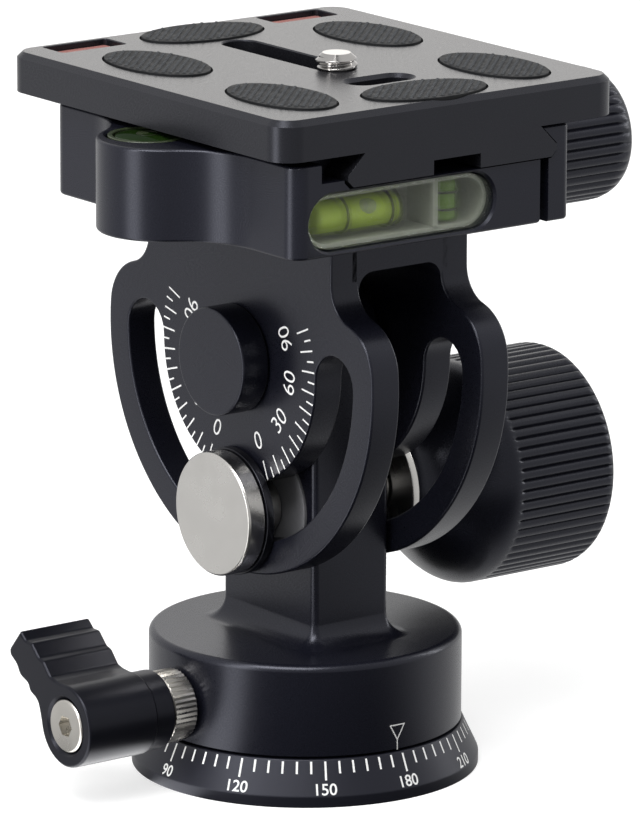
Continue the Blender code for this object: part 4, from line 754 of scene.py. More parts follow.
def pan_head():
    """The housing with its stem, pointer and grub screws."""
    rim = arc((HOUSING_RADIUS - HOUSING_ROUND, HOUSING_TOP - HOUSING_ROUND), HOUSING_ROUND, 0, 90,
              HOUSING_ROUND_STEPS)
    bore_top = high("pan_spindle").z + GAP
    profile = [(0, bore_top), (HOUSING_BORE, bore_top), (HOUSING_BORE, HOUSING_BOTTOM),
               (HOUSING_RADIUS - GAP / 2, HOUSING_BOTTOM), (HOUSING_RADIUS, HOUSING_BOTTOM + GAP / 2)]
    drum = turned(profile + rim + [(0, HOUSING_TOP)], steps=WIDE_STEPS)
    stem = prism(stem_outline(), "Y", -STEM_HALF, STEM_HALF, STEM_CORNER, 4)
    far = STEM_HALF + OVERRUN
    wall = HOUSING_RADIUS + OVERRUN
    cutters = [
        rod(PIVOT_BORE, -far, far, TILT_AXIS, REAR),
        rod(FRICTION_SEAT, FRICTION_FLOOR, far, BOLT_AXIS, REAR, ROUND_STEPS),
        rod(FRICTION_SEAT, FRICTION_FLOOR, far, BOLT_AXIS, FRONT, ROUND_STEPS),
        rod(STUD_BORE, HOUSING_BORE, wall, LOCK_AXIS, FRONT),
    ]
    retainers = {node: Vector((middle(node).x, middle(node).y, 0)).normalized()
                 for node in ("retaining_screw_left", "retaining_screw_right")}
    for direction in retainers.values():
        cutters.append(rod(RETAINER_BORE, HOUSING_BORE, wall, LOCK_AXIS, direction))
    body = cut(join(drum, stem, stem_foot()), *cutters)
    dress(body, "pan_housing_shell", BLACK, "pan_head", "satin_black", "pan_housing")
    dress(printed(pointer_marks(), drum_point), "pan_pointer_print", INK, "pan_head", "satin_black")
    for node, direction in retainers.items():
        retaining_screw(node, direction)


def washer(node, centre, hole, ease, material, body, slot, steps=ROUND_STEPS):
    """A ring along Y in the place of a packed one."""
    made = tube(high(node).x - centre[0], hole, low(node).y, high(node).y, centre, REAR, steps, ease)
    dress(made, node + "_fine", material, body, slot, node)


def tilt_bolt():
    """The disc-headed bolt with its washers and sleeves through the arms."""
    disc_start, head_end = -high("tilt_bolt").y, -low("tilt_bolt").y
    head_start = head_end - BOLT_HEAD_THICKNESS
    radius = high("tilt_bolt").x
    profile = [(0, head_end), (radius - BOLT_HEAD_CHAMFER, head_end), (radius, head_end - BOLT_HEAD_CHAMFER),
               (radius, head_start), (BOLT_SHANK, head_start), (BOLT_SHANK, disc_start), (0, disc_start)]
    disc = turned(profile, BOLT_AXIS, FRONT, WIDE_STEPS, BOLT_EASE)
    dress(disc, "disc_head_bolt", HEAD_STEEL, "pan_head", "steel", "tilt_bolt")
    washer("bolt_washer", BOLT_AXIS, BOLT_HOLE, WASHER_EASE, DEEP_BLACK, "pan_head", "satin_black",
           WIDE_STEPS)
    for node in ("friction_washer_front", "friction_washer_rear"):
        washer(node, BOLT_AXIS, BOLT_HOLE, BRAKE_EASE, POLYMER, "pan_head", "washer_polymer")
    for node in ("slot_sleeve_front", "slot_sleeve_rear"):
        washer(node, BOLT_AXIS, BOLT_HOLE, WASHER_EASE, INNER_STEEL, "pan_head", "steel")


# Pan lock

BLADE_REACH = 0.0147
BLADE_RISE = 0.0123
BLADE_WIDTH = 0.01285
BLADE_ROUND = 0.0064
BLADE_EDGE = 0.00045
BLADE_CORNER = 0.00035
BLADE_UPPER_SHARES = (
    (-1.00, 0.72), (-0.80, 1.00), (-0.70, 0.895), (-0.60, 0.895), (-0.47, 0.74),
    (-0.39, 0.715), (-0.27, 0.555), (-0.19, 0.53), (-0.06, 0.505),
)
BLADE_LOWER_SHARES = (
    (-0.42, -0.12), (-0.46, 0.05), (-0.50, 0.19), (-0.64, 0.27), (-0.67, 0.36),
    (-0.82, 0.43), (-0.87, 0.55), (-0.985, 0.64),
)
LEVER_HUB_RADIUS = 0.00608
LEVER_HUB_EASE = 0.0003
LEVER_SOCKET_DEPTH = 0.0053
LEVER_SCREW_HOLE = 0.0024
LEVER_SCREW_SINK = 0.0021
LEVER_SCREW_RIM = 0.0003
LEVER_SCREW_SHANK = 0.0021
LEVER_SCREW_LENGTH = 0.0040
HEX_RADIUS = 0.0017
HEX_DEPTH = 0.0019
STUD_KNURLS = 44
STUD_KNURL_DEPTH = 0.00018
STUD_CHAMFER = 0.0003
STUD_STEP = 0.0004
STUD_SHANK = 0.0039
STUD_REACH = 0.0050


def blade_outline():
    """The lever's side view: thumb steps above, scallops below, and the round of the hub."""
    upper = [(u * BLADE_REACH, v * BLADE_RISE) for u, v in BLADE_UPPER_SHARES]
    lower = [(u * BLADE_REACH, v * BLADE_RISE) for u, v in BLADE_LOWER_SHARES]
    start = math.degrees(math.atan2(upper[-1][1], upper[-1][0]))
    end = math.degrees(math.atan2(lower[0][1], lower[0][0]))
    stepped = eased(lower[-2:] + upper, BLADE_CORNER)[1:-1]
    scalloped = eased(lower, 3 * BLADE_CORNER)[1:-1]
    points = list(stepped) + arc((0, 0), BLADE_ROUND, start, end, 3 * ARC_STEPS) + list(scalloped)
    return [(u, v + LOCK_HEIGHT) for u, v in points]


def ribbed(rows, ribs, centre, direction, samples=RIB_SAMPLES, crest=RIB_CREST):
    """A ribbed turned form; each row is (height, radius over the ribs, rib depth)."""
    turn = aim(direction)
    count = ribs * samples
    sections = []
    for height, radius, depth in rows:
        ring = []
        for i in range(count):
            phase = (i % samples) / samples
            rise = min(1.0, (1 - abs(2 * phase - 1)) / crest) if samples > 2 else i % 2
            reach = radius - depth * (1 - math.sin(rise * math.pi / 2))
            angle = math.tau * i / count
            spot = Vector((reach * math.cos(angle), reach * math.sin(angle), height))
            ring.append(turn @ spot + Vector(centre))
        sections.append(ring)
    return loft(sections)


def pan_lock():
    """The lever with its screw and its knurled stud."""
    face, start = -low("pan_lock_lever").y, -high("pan_lock_lever").y
    hub = rod(LEVER_HUB_RADIUS, start, face - BLADE_WIDTH / 2, LOCK_AXIS, FRONT, ROUND_STEPS, LEVER_HUB_EASE)
    blade = prism(blade_outline(), "Y", -face, -face + BLADE_WIDTH, BLADE_EDGE)
    head = high("lever_screw").x
    sink = face - LEVER_SCREW_SINK
    socket = start + LEVER_SOCKET_DEPTH
    profile = [(0, start - OVERRUN), (STUD_BORE, start - OVERRUN), (STUD_BORE, socket),
               (LEVER_SCREW_HOLE, socket), (LEVER_SCREW_HOLE, sink), (head + GAP, face - GAP),
               (head + GAP + OVERRUN, face + OVERRUN), (0, face + OVERRUN)]
    body = cut(join(blade, hub), turned(profile, LOCK_AXIS, FRONT))
    dress(body, "pan_lock_lever_fine", LEVER_BLACK, "pan_lever", "satin_black", "pan_lock_lever")

    end = sink - LEVER_SCREW_LENGTH
    profile = [(0, face), (head - LEVER_SCREW_RIM, face), (head, face - GAP), (LEVER_SCREW_SHANK, sink),
               (LEVER_SCREW_SHANK, end), (0, end)]
    screw = turned(profile, LOCK_AXIS, FRONT, ease=BOLT_EASE)
    key = prism(circle((0, LOCK_HEIGHT), HEX_RADIUS, HEX_SIDES), "Y", -face - OVERRUN, -face + HEX_DEPTH)
    dress(cut(screw, key), "lever_screw_fine", STUD_STEEL, "pan_lever", "steel", "lever_screw")

    near, far = HOUSING_RADIUS + GAP, start - GAP
    collar = high("lock_stud").x
    rows = [(near, collar - STUD_STEP, 0), (near + STUD_CHAMFER, collar, STUD_KNURL_DEPTH),
            (far - STUD_CHAMFER, collar, STUD_KNURL_DEPTH), (far, collar - STUD_STEP, 0)]
    knurled = ribbed(rows, STUD_KNURLS, LOCK_AXIS, FRONT, 2)
    shank = rod(STUD_SHANK, -high("lock_stud").y, start + STUD_REACH, LOCK_AXIS, FRONT)
    dress(bundle(knurled, shank), "lock_stud_fine", STUD_STEEL, "pan_lever", "steel", "lock_stud")


# Tilt knob

KNOB_NECK_RADIUS = 0.0097
KNOB_NECK_CHAMFER = 0.0003
KNOB_FLARE_LENGTH = 0.0134
KNOB_FLARE_LEAN_SHARE = 1.1
KNOB_RIBS = 66
KNOB_RIB_DEPTH = 0.00055
KNOB_RIB_START = 0.0003
KNOB_RIB_RUN = 0.0006
KNOB_RIM = 0.0010
KNOB_RIM_SINK = 0.0001
KNOB_CAP_RADIUS = 0.0115
KNOB_CAP_THICKNESS = 0.0016
KNOB_RIB_FIRST_SHARE = 0.5
KNOB_RIB_LAST_SHARE = 0.7
KNOB_CAP_EASE = 0.0003
KNOB_BORE = 0.0062
KNOB_WASHER_EASE = 0.0002


def tilt_knob():
    """The large ribbed knob with its closing disc and the washer before it."""
    start, end = low("tilt_knob").y, high("tilt_knob").y
    radius = high("tilt_knob").x
    flare_end = start + KNOB_FLARE_LENGTH
    flare_steps = 2 * ARC_STEPS
    rows = [(start, KNOB_NECK_RADIUS - KNOB_NECK_CHAMFER, 0)]
    for i in range(1, flare_steps + 1):
        share = i / flare_steps
        wave = (1 - math.cos(math.pi * share ** KNOB_FLARE_LEAN_SHARE)) / 2
        flare = KNOB_NECK_RADIUS + (radius - KNOB_NECK_RADIUS) * wave
        rows.append((start + KNOB_FLARE_LENGTH * share, flare, 0))
    rows += [(flare_end + KNOB_RIB_START, radius, KNOB_RIB_DEPTH * KNOB_RIB_FIRST_SHARE),
             (flare_end + KNOB_RIB_START + KNOB_RIB_RUN, radius, KNOB_RIB_DEPTH),
             (end - KNOB_RIM - KNOB_RIB_RUN, radius, KNOB_RIB_DEPTH),
             (end - KNOB_RIM, radius - KNOB_RIM_SINK, KNOB_RIB_DEPTH * KNOB_RIB_LAST_SHARE)]
    for angle in (30, 60, 90):
        turn = math.radians(angle)
        rim = radius - 2 * KNOB_RIM_SINK - KNOB_RIM * (1 - math.cos(turn))
        rows.append((end - KNOB_RIM * (1 - math.sin(turn)), rim, 0))
    body = ribbed(rows, KNOB_RIBS, BOLT_AXIS, REAR)
    bore = rod(KNOB_BORE, start - OVERRUN, end - KNOB_CAP_THICKNESS, BOLT_AXIS, REAR)
    seat_radius = KNOB_CAP_RADIUS + GAP
    seat = turned([(0, end - KNOB_CAP_THICKNESS - GAP), (seat_radius, end - KNOB_CAP_THICKNESS - GAP),
                   (seat_radius, end - GAP), (seat_radius + OVERRUN, end + OVERRUN - GAP),
                   (0, end + OVERRUN)],
                  BOLT_AXIS, REAR)
    dress(cut(body, bore, seat), "tilt_knob_fine", BLACK, "tilt_knob", "satin_black", "tilt_knob")
    cap = rod(KNOB_CAP_RADIUS, end - KNOB_CAP_THICKNESS, end - GAP, BOLT_AXIS, REAR, ROUND_STEPS,
              KNOB_CAP_EASE)
    dress(cap, "tilt_knob_cap", DEEP_BLACK, "tilt_knob", "satin_black", "knob_end_cap")
    washer("knob_washer", BOLT_AXIS, BOLT_HOLE, KNOB_WASHER_EASE, HEAD_STEEL, "knob_carriage", "steel",
           WIDE_STEPS)


# Yoke

ARM_RADIUS = TILT_HEIGHT - low("yoke").z
ARM_INNER = 0.00775
ARM_EDGE = 0.0004
NECK_HALF_WIDTH = 0.0232
NECK_FILLET = 0.0055
NECK_FILLET_RISE = 0.0153
SHOULDER_ROUND = 0.0080
POCKET_TOP = 0.08201
POCKET_CORNER = 0.0027
BOLT_DROP = TILT_HEIGHT - BOLT_HEIGHT
SLOT_HALF_WIDTH = 0.00455
ARM_TICK_END = 0.0192
ARM_TICK_SHORT = 0.0176
ARM_TICK_LONG = 0.0162
ARM_TICK_WIDTH = 0.00026
ARM_FIGURE_RADIUS = 0.0130
ARM_FIGURE_HEIGHT = 0.0027
ARM_FIGURE_WEIGHT = -0.006
ARM_TICKS = 19
ARM_ZERO_DEGREES = 23.5


def yoke_outline():
    """The arm with its shoulders and neck, seen from the front."""
    upper = (NECK_HALF_WIDTH + NECK_FILLET, NECK_FILLET_RISE)
    reach = math.hypot(*upper)
    inner = ARM_RADIUS - SHOULDER_ROUND
    span = SHOULDER_ROUND + NECK_FILLET
    bend = math.acos((inner ** 2 + reach ** 2 - span ** 2) / (2 * inner * reach))
    angle = math.atan2(upper[1], upper[0]) - bend
    lower = (inner * math.cos(angle), inner * math.sin(angle))
    meet = math.degrees(math.atan2(upper[1] - lower[1], upper[0] - lower[0]))
    side = arc((0, 0), ARM_RADIUS, -90, math.degrees(angle), 4 * ARC_STEPS)
    side += arc(lower, SHOULDER_ROUND, math.degrees(angle), meet)[1:]
    side += arc(upper, NECK_FILLET, meet + 180, 180)[1:]
    side.append((NECK_HALF_WIDTH, YOKE_TOP - TILT_HEIGHT))
    mirrored = [(-u, v) for u, v in reversed(side[1:])]
    return [(u, v + TILT_HEIGHT) for u, v in side + mirrored]


def slot_outline():
    """The arc slot: half a turn about the tilt axis, with round ends."""
    outline = arc((0, 0), BOLT_DROP + SLOT_HALF_WIDTH, -180, 0, 6 * ARC_STEPS)
    outline += arc((BOLT_DROP, 0), SLOT_HALF_WIDTH, 0, 180)[1:-1]
    outline += arc((0, 0), BOLT_DROP - SLOT_HALF_WIDTH, 0, -180, 5 * ARC_STEPS)
    outline += arc((-BOLT_DROP, 0), SLOT_HALF_WIDTH, 0, 180)[1:-1]
    return [(u, v + TILT_HEIGHT) for u, v in outline]


def arm_point(placing, u, v):
    """A point of the front arm's face: placing is an angle from straight down and a radius."""
    around, radius = placing
    turn = math.radians(around)
    side = Vector((math.cos(turn), math.sin(turn)))
    inward = Vector((-math.sin(turn), math.cos(turn)))
    spot = inward * (v - radius) + side * u
    return (spot.x, -ARM_OUTER - INK_LIFT, TILT_HEIGHT + spot.y)


def yoke():
    """The two slotted arms, the neck that joins them and the printed tilt scale."""
    loops = [yoke_outline(), slot_outline()]
    front = slab(loops, "Y", -ARM_OUTER, -ARM_INNER, ARM_EDGE)
    rear = slab(loops, "Y", ARM_INNER, ARM_OUTER, ARM_EDGE)
    corner = POCKET_CORNER
    wall = ARM_INNER + 3 * ARM_EDGE
    roof = [(-wall, YOKE_TOP - ARM_EDGE), (-wall, POCKET_TOP - corner), (-ARM_INNER, POCKET_TOP - corner)]
    roof += arc((-ARM_INNER + corner, POCKET_TOP - corner), corner, 180, 90)[1:]
    roof += arc((ARM_INNER - corner, POCKET_TOP - corner), corner, 90, 0)
    roof += [(wall, POCKET_TOP - corner), (wall, YOKE_TOP - ARM_EDGE)]
    neck = prism(roof, "X", -NECK_HALF_WIDTH, NECK_HALF_WIDTH)
    half = NECK_HALF_WIDTH - ARM_EDGE
    cap = prism(rounded_box((-half, -wall), (half, wall), ARM_EDGE), "Z", YOKE_TOP - 2 * ARM_EDGE, YOKE_TOP)
    dress(bundle(front, rear, neck, cap), "yoke_fine", BLACK, "tilt_head", "satin_black", "yoke")
    marks = []
    for side in (-1, 1):
        for step in range(ARM_TICKS):
            around = side * (ARM_ZERO_DEGREES + step * TICK_DEGREES)
            start = ARM_TICK_SHORT if step % 2 else ARM_TICK_LONG
            marks.append((bar(ARM_TICK_END - start, ARM_TICK_WIDTH), (around, (ARM_TICK_END + start) / 2)))
        for degrees in range(0, 91, FIGURE_DEGREES):
            around = side * (ARM_ZERO_DEGREES + degrees)
            figure = glyphs(str(degrees), ARM_FIGURE_HEIGHT, ARM_FIGURE_WEIGHT)
            marks.append((figure, (around, ARM_FIGURE_RADIUS)))
    dress(printed(marks, arm_point), "tilt_scale_print", INK, "tilt_head", "satin_black")
    for node, direction in (("pivot_cap_front", -1), ("pivot_cap_rear", 1)):
        near = min(abs(low(node).y), abs(high(node).y))
        far = max(abs(low(node).y), abs(high(node).y))
        cap = rod(high(node).x, near, far, TILT_AXIS, (0, direction, 0), WIDE_STEPS, ARM_EDGE)
        dress(cap, node + "_fine", BLACK, "tilt_head", "satin_black", node)


# Plate clamp

CLAMP_CORNER = 0.0027
CLAMP_EDGE = 0.0005
CLAMP_FRONT = 0.0283
CLAMP_SCREW_HOLE = 0.0033
GUIDE_PIN_HOLE = 0.0018
LUG_RADIUS = 0.0100
LUG_OFFSET = 0.0015
LUG_FILLET = 0.0130
JAW_INNER = 0.0192
JAW_OUTER = 0.0233
JAW_CORNER = 0.0012
JAW_FILLET = 0.0060
DOVETAIL_BOTTOM = low("camera_plate").z
DOVETAIL_NECK = 0.01648
DOVETAIL_FLARE = 0.0196
DOVETAIL_CORNER = 0.0010
PLATE_BOTTOM = DOVETAIL_BOTTOM + 0.0049
CHANNEL_FLOOR = DOVETAIL_BOTTOM - GAP
RELIEF_DEPTH = 0.0050
RELIEF_WIDTH = 0.0042
RELIEF_HEIGHT = 0.0029
WINDOW_DEPTH = 0.0088
WINDOW_LIP = 0.00035
WINDOW_Y = middle("vial_window").y
WINDOW_Z = middle("vial_window").z
WINDOW_HALF_LENGTH = high("vial_window").y - WINDOW_Y + GAP
WINDOW_HALF_HEIGHT = high("vial_window").z - WINDOW_Z + GAP
THRUST_WASHER_EASE = 0.00012
CLAMP_KNOB_RIBS = 40
CLAMP_KNOB_RIB_SAMPLES = 8
CLAMP_KNOB_RIB_CREST = 0.75
CLAMP_KNOB_RIB_FIRST_SHARE = 0.6
CLAMP_KNOB_DEPTH = 0.0005
CLAMP_KNOB_NECK = 0.0078
CLAMP_KNOB_NECK_CHAMFER = 0.0003
CLAMP_KNOB_NECK_LENGTH = 0.0020
CLAMP_KNOB_CONE = 0.0008
CLAMP_KNOB_BEND = 0.0036
CLAMP_KNOB_BEND_STEPS = 6
CLAMP_KNOB_RIM = 0.00867
CLAMP_CAP_SEAT = 0.0015
CLAMP_CAP_THICKNESS = 0.0012
CLAMP_CAP_EASE = 0.00025


def lug_plan(left, right, back, front, corner, lug):
    """A block seen from above, with a half-round lug flowing out of its front side."""
    radius, offset, fillet = lug
    reach = math.sqrt((radius + fillet) ** 2 - (fillet - offset) ** 2)
    lean = math.degrees(math.atan2(fillet - offset, reach))
    flank = arc((reach, fillet), fillet, 270, 180 + lean)
    crown = arc((0, offset), radius, lean, 180 - lean, 4 * ARC_STEPS)
    bulge = flank + crown[1:-1] + [(-u, v) for u, v in reversed(flank)]
    outline = [(right, back)] + arc((right - corner, front - corner), corner, 0, 90)
    outline += [(u + CLAMP_AXIS.x, v + front) for u, v in bulge]
    outline += arc((left + corner, front - corner), corner, 90, 180) + [(left, back)]
    return outline


def dovetail_side(room):
    """Half of the dovetail from its bottom up, grown by a clearance, as (half width, height)."""
    flare_height = PLATE_BOTTOM - (DOVETAIL_FLARE - DOVETAIL_NECK)
    bottom = DOVETAIL_BOTTOM - room
    return [
        (DOVETAIL_FLARE + room - DOVETAIL_CORNER, bottom), (DOVETAIL_FLARE + room, bottom + DOVETAIL_CORNER),
        (DOVETAIL_FLARE + room, flare_height + room * (math.sqrt(2) - 1)),
        (DOVETAIL_NECK + room * math.sqrt(2), PLATE_BOTTOM),
    ]


def window_cutter(end_x):
    """The level's pocket with a small chamfer at its mouth."""
    sections = []
    for grow, place in ((0, end_x - WINDOW_DEPTH), (0, end_x - WINDOW_LIP), (WINDOW_LIP, end_x),
                        (WINDOW_LIP, end_x + OVERRUN)):
        ring = stadium((WINDOW_Y, WINDOW_Z), WINDOW_HALF_LENGTH + grow, WINDOW_HALF_HEIGHT + grow)
        sections.append([(place, u, v) for u, v in ring])
    return loft(sections)


def clamp_body():
    """The clamp's body: fixed jaw, level pocket and bullseye lug."""
    left, right = low("clamp_body").x, high("clamp_body").x
    back = high("clamp_body").y
    plan = lug_plan(left, right, -back, CLAMP_FRONT, CLAMP_CORNER, (LUG_RADIUS, LUG_OFFSET, LUG_FILLET))
    body = prism([(u, -v) for u, v in plan], "Z", CLAMP_BOTTOM, CLAMP_TOP, CLAMP_EDGE)
    above = PLATE_BOTTOM + OVERRUN
    behind = back + OVERRUN
    side = [(PLATE_CENTRE_Y - half, height) for half, height in dovetail_side(GAP)]
    channel = [(behind, CHANNEL_FLOOR)] + side + [(side[-1][0], above), (behind, above)]
    relief_right = PLATE_CENTRE_Y - DOVETAIL_NECK
    relief_left = PLATE_CENTRE_Y - DOVETAIL_FLARE - GAP - RELIEF_WIDTH
    relief = [(right - RELIEF_DEPTH, relief_left), (right + OVERRUN, relief_left),
              (right + OVERRUN, relief_right), (right - RELIEF_DEPTH, relief_right)]
    cup, cup_floor = middle("bullseye_cup"), low("bullseye_cup").z - GAP
    cup_radius = high("bullseye_cup").x - cup.x + GAP
    mouth = [(0, cup_floor), (cup_radius, cup_floor), (cup_radius, CLAMP_TOP - WINDOW_LIP),
             (cup_radius + WINDOW_LIP, CLAMP_TOP), (cup_radius + WINDOW_LIP, above), (0, above)]
    cutters = [
        prism(channel, "X", left - OVERRUN, right + OVERRUN),
        prism(relief, "Z", CLAMP_TOP - RELIEF_HEIGHT, above),
        window_cutter(right),
        rod(CLAMP_SCREW_HOLE, low("clamp_screw").y - GAP, behind, CLAMP_AXIS, REAR),
        turned(mouth, (cup.x, cup.y, 0)),
    ]
    for node in ("guide_pin_left", "guide_pin_right"):
        axis = (middle(node).x, 0, middle(node).z)
        cutters.append(rod(GUIDE_PIN_HOLE, low(node).y - GAP, behind, axis, REAR))
    dress(cut(body, *cutters), "clamp_body_fine", BLACK, "tilt_head", "satin_black", "clamp_body",
          edge=FINE_EDGE)


def clamp_jaw():
    """The moving jaw and the washer that its knob presses on."""
    left, right = low("clamp_jaw").x, high("clamp_jaw").x
    top, back = high("clamp_jaw").z, high("clamp_jaw").y
    lip = PLATE_CENTRE_Y + DOVETAIL_NECK
    lug = (LUG_RADIUS, back - JAW_OUTER - LUG_RADIUS, JAW_FILLET)
    body = prism(lug_plan(left, right, lip, JAW_OUTER, JAW_CORNER, lug), "Z", CLAMP_BOTTOM, top, CLAMP_EDGE)
    inside = lip - OVERRUN
    side = [(PLATE_CENTRE_Y + half, height) for half, height in dovetail_side(GAP)]
    foot = CLAMP_BOTTOM - OVERRUN
    undercut = [(inside, foot), (JAW_INNER, foot), (JAW_INNER, CHANNEL_FLOOR)]
    undercut += side + [(inside, PLATE_BOTTOM)]
    body = cut(body, prism(undercut, "X", left - OVERRUN, right + OVERRUN),
               rod(CLAMP_SCREW_HOLE, inside, back + OVERRUN, CLAMP_AXIS, REAR))
    dress(body, "clamp_jaw_fine", BLACK, "clamp_jaw", "satin_black", "clamp_jaw", edge=FINE_EDGE)
    washer("thrust_washer", CLAMP_AXIS, CLAMP_SCREW_HOLE, THRUST_WASHER_EASE, INNER_STEEL, "clamp_jaw",
           "steel")


def clamp_knob():
    """The clamp's knob: fine ribs that end before a smooth rounded rim, and its closing disc."""
    start, end = low("clamp_knob").y, high("clamp_knob").y
    radius = high("clamp_knob").x - CLAMP_AXIS.x
    bend = end - CLAMP_KNOB_BEND
    neck_end = start + CLAMP_KNOB_NECK_LENGTH
    cone_end = neck_end + CLAMP_KNOB_CONE
    rows = [(start, CLAMP_KNOB_NECK - CLAMP_KNOB_NECK_CHAMFER, 0),
            (start + CLAMP_KNOB_NECK_CHAMFER, CLAMP_KNOB_NECK, 0),
            (neck_end, CLAMP_KNOB_NECK, 0), (cone_end, radius - CLAMP_KNOB_DEPTH, 0),
            (cone_end + KNOB_RIB_RUN, radius, CLAMP_KNOB_DEPTH * CLAMP_KNOB_RIB_FIRST_SHARE),
            (cone_end + KNOB_RIB_RUN + CLAMP_KNOB_CONE, radius, CLAMP_KNOB_DEPTH),
            (bend, radius, CLAMP_KNOB_DEPTH)]
    for i in range(1, CLAMP_KNOB_BEND_STEPS + 1):
        share = i / CLAMP_KNOB_BEND_STEPS
        turn = share * math.pi / 2
        reach = CLAMP_KNOB_RIM + (radius - CLAMP_KNOB_RIM) * math.cos(turn)
        depth = CLAMP_KNOB_DEPTH * max(0.0, 1 - 2 * share)
        rows.append((bend + CLAMP_KNOB_BEND * math.sin(turn), reach, depth))
    body = ribbed(rows, CLAMP_KNOB_RIBS, CLAMP_AXIS, REAR, CLAMP_KNOB_RIB_SAMPLES, CLAMP_KNOB_RIB_CREST)
    cap_radius = high("clamp_knob_cap").x - CLAMP_AXIS.x
    seat = rod(cap_radius + GAP, end - CLAMP_CAP_SEAT, end + OVERRUN, CLAMP_AXIS, REAR, ROUND_STEPS)
    bore = rod(CLAMP_SCREW_HOLE, start - OVERRUN, end, CLAMP_AXIS, REAR)
    dress(cut(body, seat, bore), "clamp_knob_fine", BLACK, "clamp_knob", "satin_black", "clamp_knob")
    cap = rod(cap_radius, end - CLAMP_CAP_THICKNESS, end - GAP, CLAMP_AXIS, REAR, ROUND_STEPS, CLAMP_CAP_EASE)
    dress(cap, "clamp_knob_disc", DEEP_BLACK, "clamp_knob", "satin_black", "clamp_knob_cap")


# Spirit levels

LENS_EASE = 0.0004
TRAY_FLOOR = 0.0006
TRAY_OVERLAP = 0.0002
TRAY_RIM = 0.0010
TRAY_EASE = 0.0001
DIVIDER_Y = -0.00090
DIVIDER_HALF = 0.00050
DIVIDER_CORNER = 0.0002
VIAL_WALL = 0.0004
VIAL_RING_WIDTH = 0.00026
VIAL_RING_PROUD = 0.00006
VIAL_RING_DEPTH = 0.0003
LONG_VIAL_EASE = 0.0009
LONG_FLUID_EASE = 0.0008
LONG_RING_PLACES = (-0.0169, -0.0086, -0.0070)
LONG_BUBBLE_Y = -0.0128
LONG_BUBBLE_OUT_SHARE = 0.50
LONG_BUBBLE_UP_SHARE = 0.26
LONG_BUBBLE_RADII = (0.0012, 0.0021, 0.0014)
SHORT_VIAL_EASE = 0.0008
SHORT_FLUID_EASE = 0.0007
SHORT_RING_PLACE = 0.0013
CUP_WALL = 0.0008
CUP_EASE = 0.0002
CROWN = 0.00045
ROUND_BUBBLE_SHIFT = (-0.0006, -0.0004, 0.00008)
ROUND_BUBBLE_RADII = (0.0011, 0.0011, 0.00012)
ROUND_RING_OUTER = 0.0017
ROUND_RING_INNER = 0.0015
ROUND_RING_START = 0.00002
ROUND_RING_END = 0.00016


def level_window():
    """The clear window and the tray behind it with its divider."""
    inset = stadium((WINDOW_Y, WINDOW_Z), WINDOW_HALF_LENGTH - GAP, WINDOW_HALF_HEIGHT - GAP)
    lens = prism(inset, "X", low("vial_window").x, high("vial_window").x, LENS_EASE)
    dress(lens, "level_window", CLEAR, "tilt_head", "clear_cover", "vial_window")
    start = low("vial_holder").x
    front = low("vial_window").x - GAP
    floor_end = start + TRAY_FLOOR
    opening = stadium((WINDOW_Y, WINDOW_Z), WINDOW_HALF_LENGTH - TRAY_RIM, WINDOW_HALF_HEIGHT - TRAY_RIM)
    tall = WINDOW_HALF_HEIGHT - 2 * GAP
    divider = rounded_box((DIVIDER_Y - DIVIDER_HALF, WINDOW_Z - tall),
                          (DIVIDER_Y + DIVIDER_HALF, WINDOW_Z + tall), DIVIDER_CORNER)
    tray = bundle(prism(inset, "X", start, floor_end),
                  slab([inset, opening], "X", floor_end - TRAY_OVERLAP, front, TRAY_EASE),
                  prism(divider, "X", floor_end - TRAY_OVERLAP, front, TRAY_EASE))
    dress(tray, "level_tray_fine", TRAY_WHITE, "tilt_head", "clear_cover", "vial_holder")


def vial_ring(name, radius, centre, axis, direction):
    """A thin painted ring round a vial."""
    start, end = centre - VIAL_RING_WIDTH / 2, centre + VIAL_RING_WIDTH / 2
    ring = tube(radius + VIAL_RING_PROUD, radius - VIAL_RING_DEPTH, start, end, axis, direction)
    dress(ring, name, RING_PAINT, "tilt_head", "level_fluid")


def tube_levels():
    """The two tube vials with their liquid, bubble and rings."""
    centre = middle("long_vial")
    radius = high("long_vial").z - centre.z
    start, end = low("long_vial").y, high("long_vial").y
    axis = (centre.x, 0, centre.z)
    glass = rod(radius, start, end, axis, REAR, ROUND_STEPS, LONG_VIAL_EASE)
    dress(glass, "long_vial_glass", CLEAR, "tilt_head", "clear_cover")
    fluid = rod(radius - VIAL_WALL, start + 2 * VIAL_WALL, end - VIAL_WALL, axis, REAR, ROUND_STEPS,
                LONG_FLUID_EASE)
    dress(fluid, "long_vial_liquid", LONG_FLUID, "tilt_head", "level_fluid", "long_vial")
    spot = Vector((centre.x + radius * LONG_BUBBLE_OUT_SHARE, LONG_BUBBLE_Y,
                   centre.z + radius * LONG_BUBBLE_UP_SHARE))
    dress(ball(spot, LONG_BUBBLE_RADII), "long_vial_bubble", BUBBLE, "tilt_head", "level_fluid")
    for place in LONG_RING_PLACES:
        vial_ring("long_vial_ring_%d" % round(-place * 10000), radius, place, axis, REAR)

    centre = middle("short_vial")
    radius = high("short_vial").y - centre.y
    start, end = low("short_vial").z, high("short_vial").z
    axis = (centre.x, centre.y, 0)
    glass = rod(radius, start, end, axis, steps=ROUND_STEPS, ease=SHORT_VIAL_EASE)
    dress(glass, "short_vial_glass", CLEAR, "tilt_head", "clear_cover")
    fluid = rod(radius - VIAL_WALL, start + VIAL_WALL, end - VIAL_WALL, axis, steps=ROUND_STEPS,
                ease=SHORT_FLUID_EASE)
    dress(fluid, "short_vial_liquid", SHORT_FLUID, "tilt_head", "level_fluid", "short_vial")
    for name, side in (("low", -1), ("high", 1)):
        vial_ring("short_vial_ring_" + name, radius, WINDOW_Z + side * SHORT_RING_PLACE, axis, (0, 0, 1))


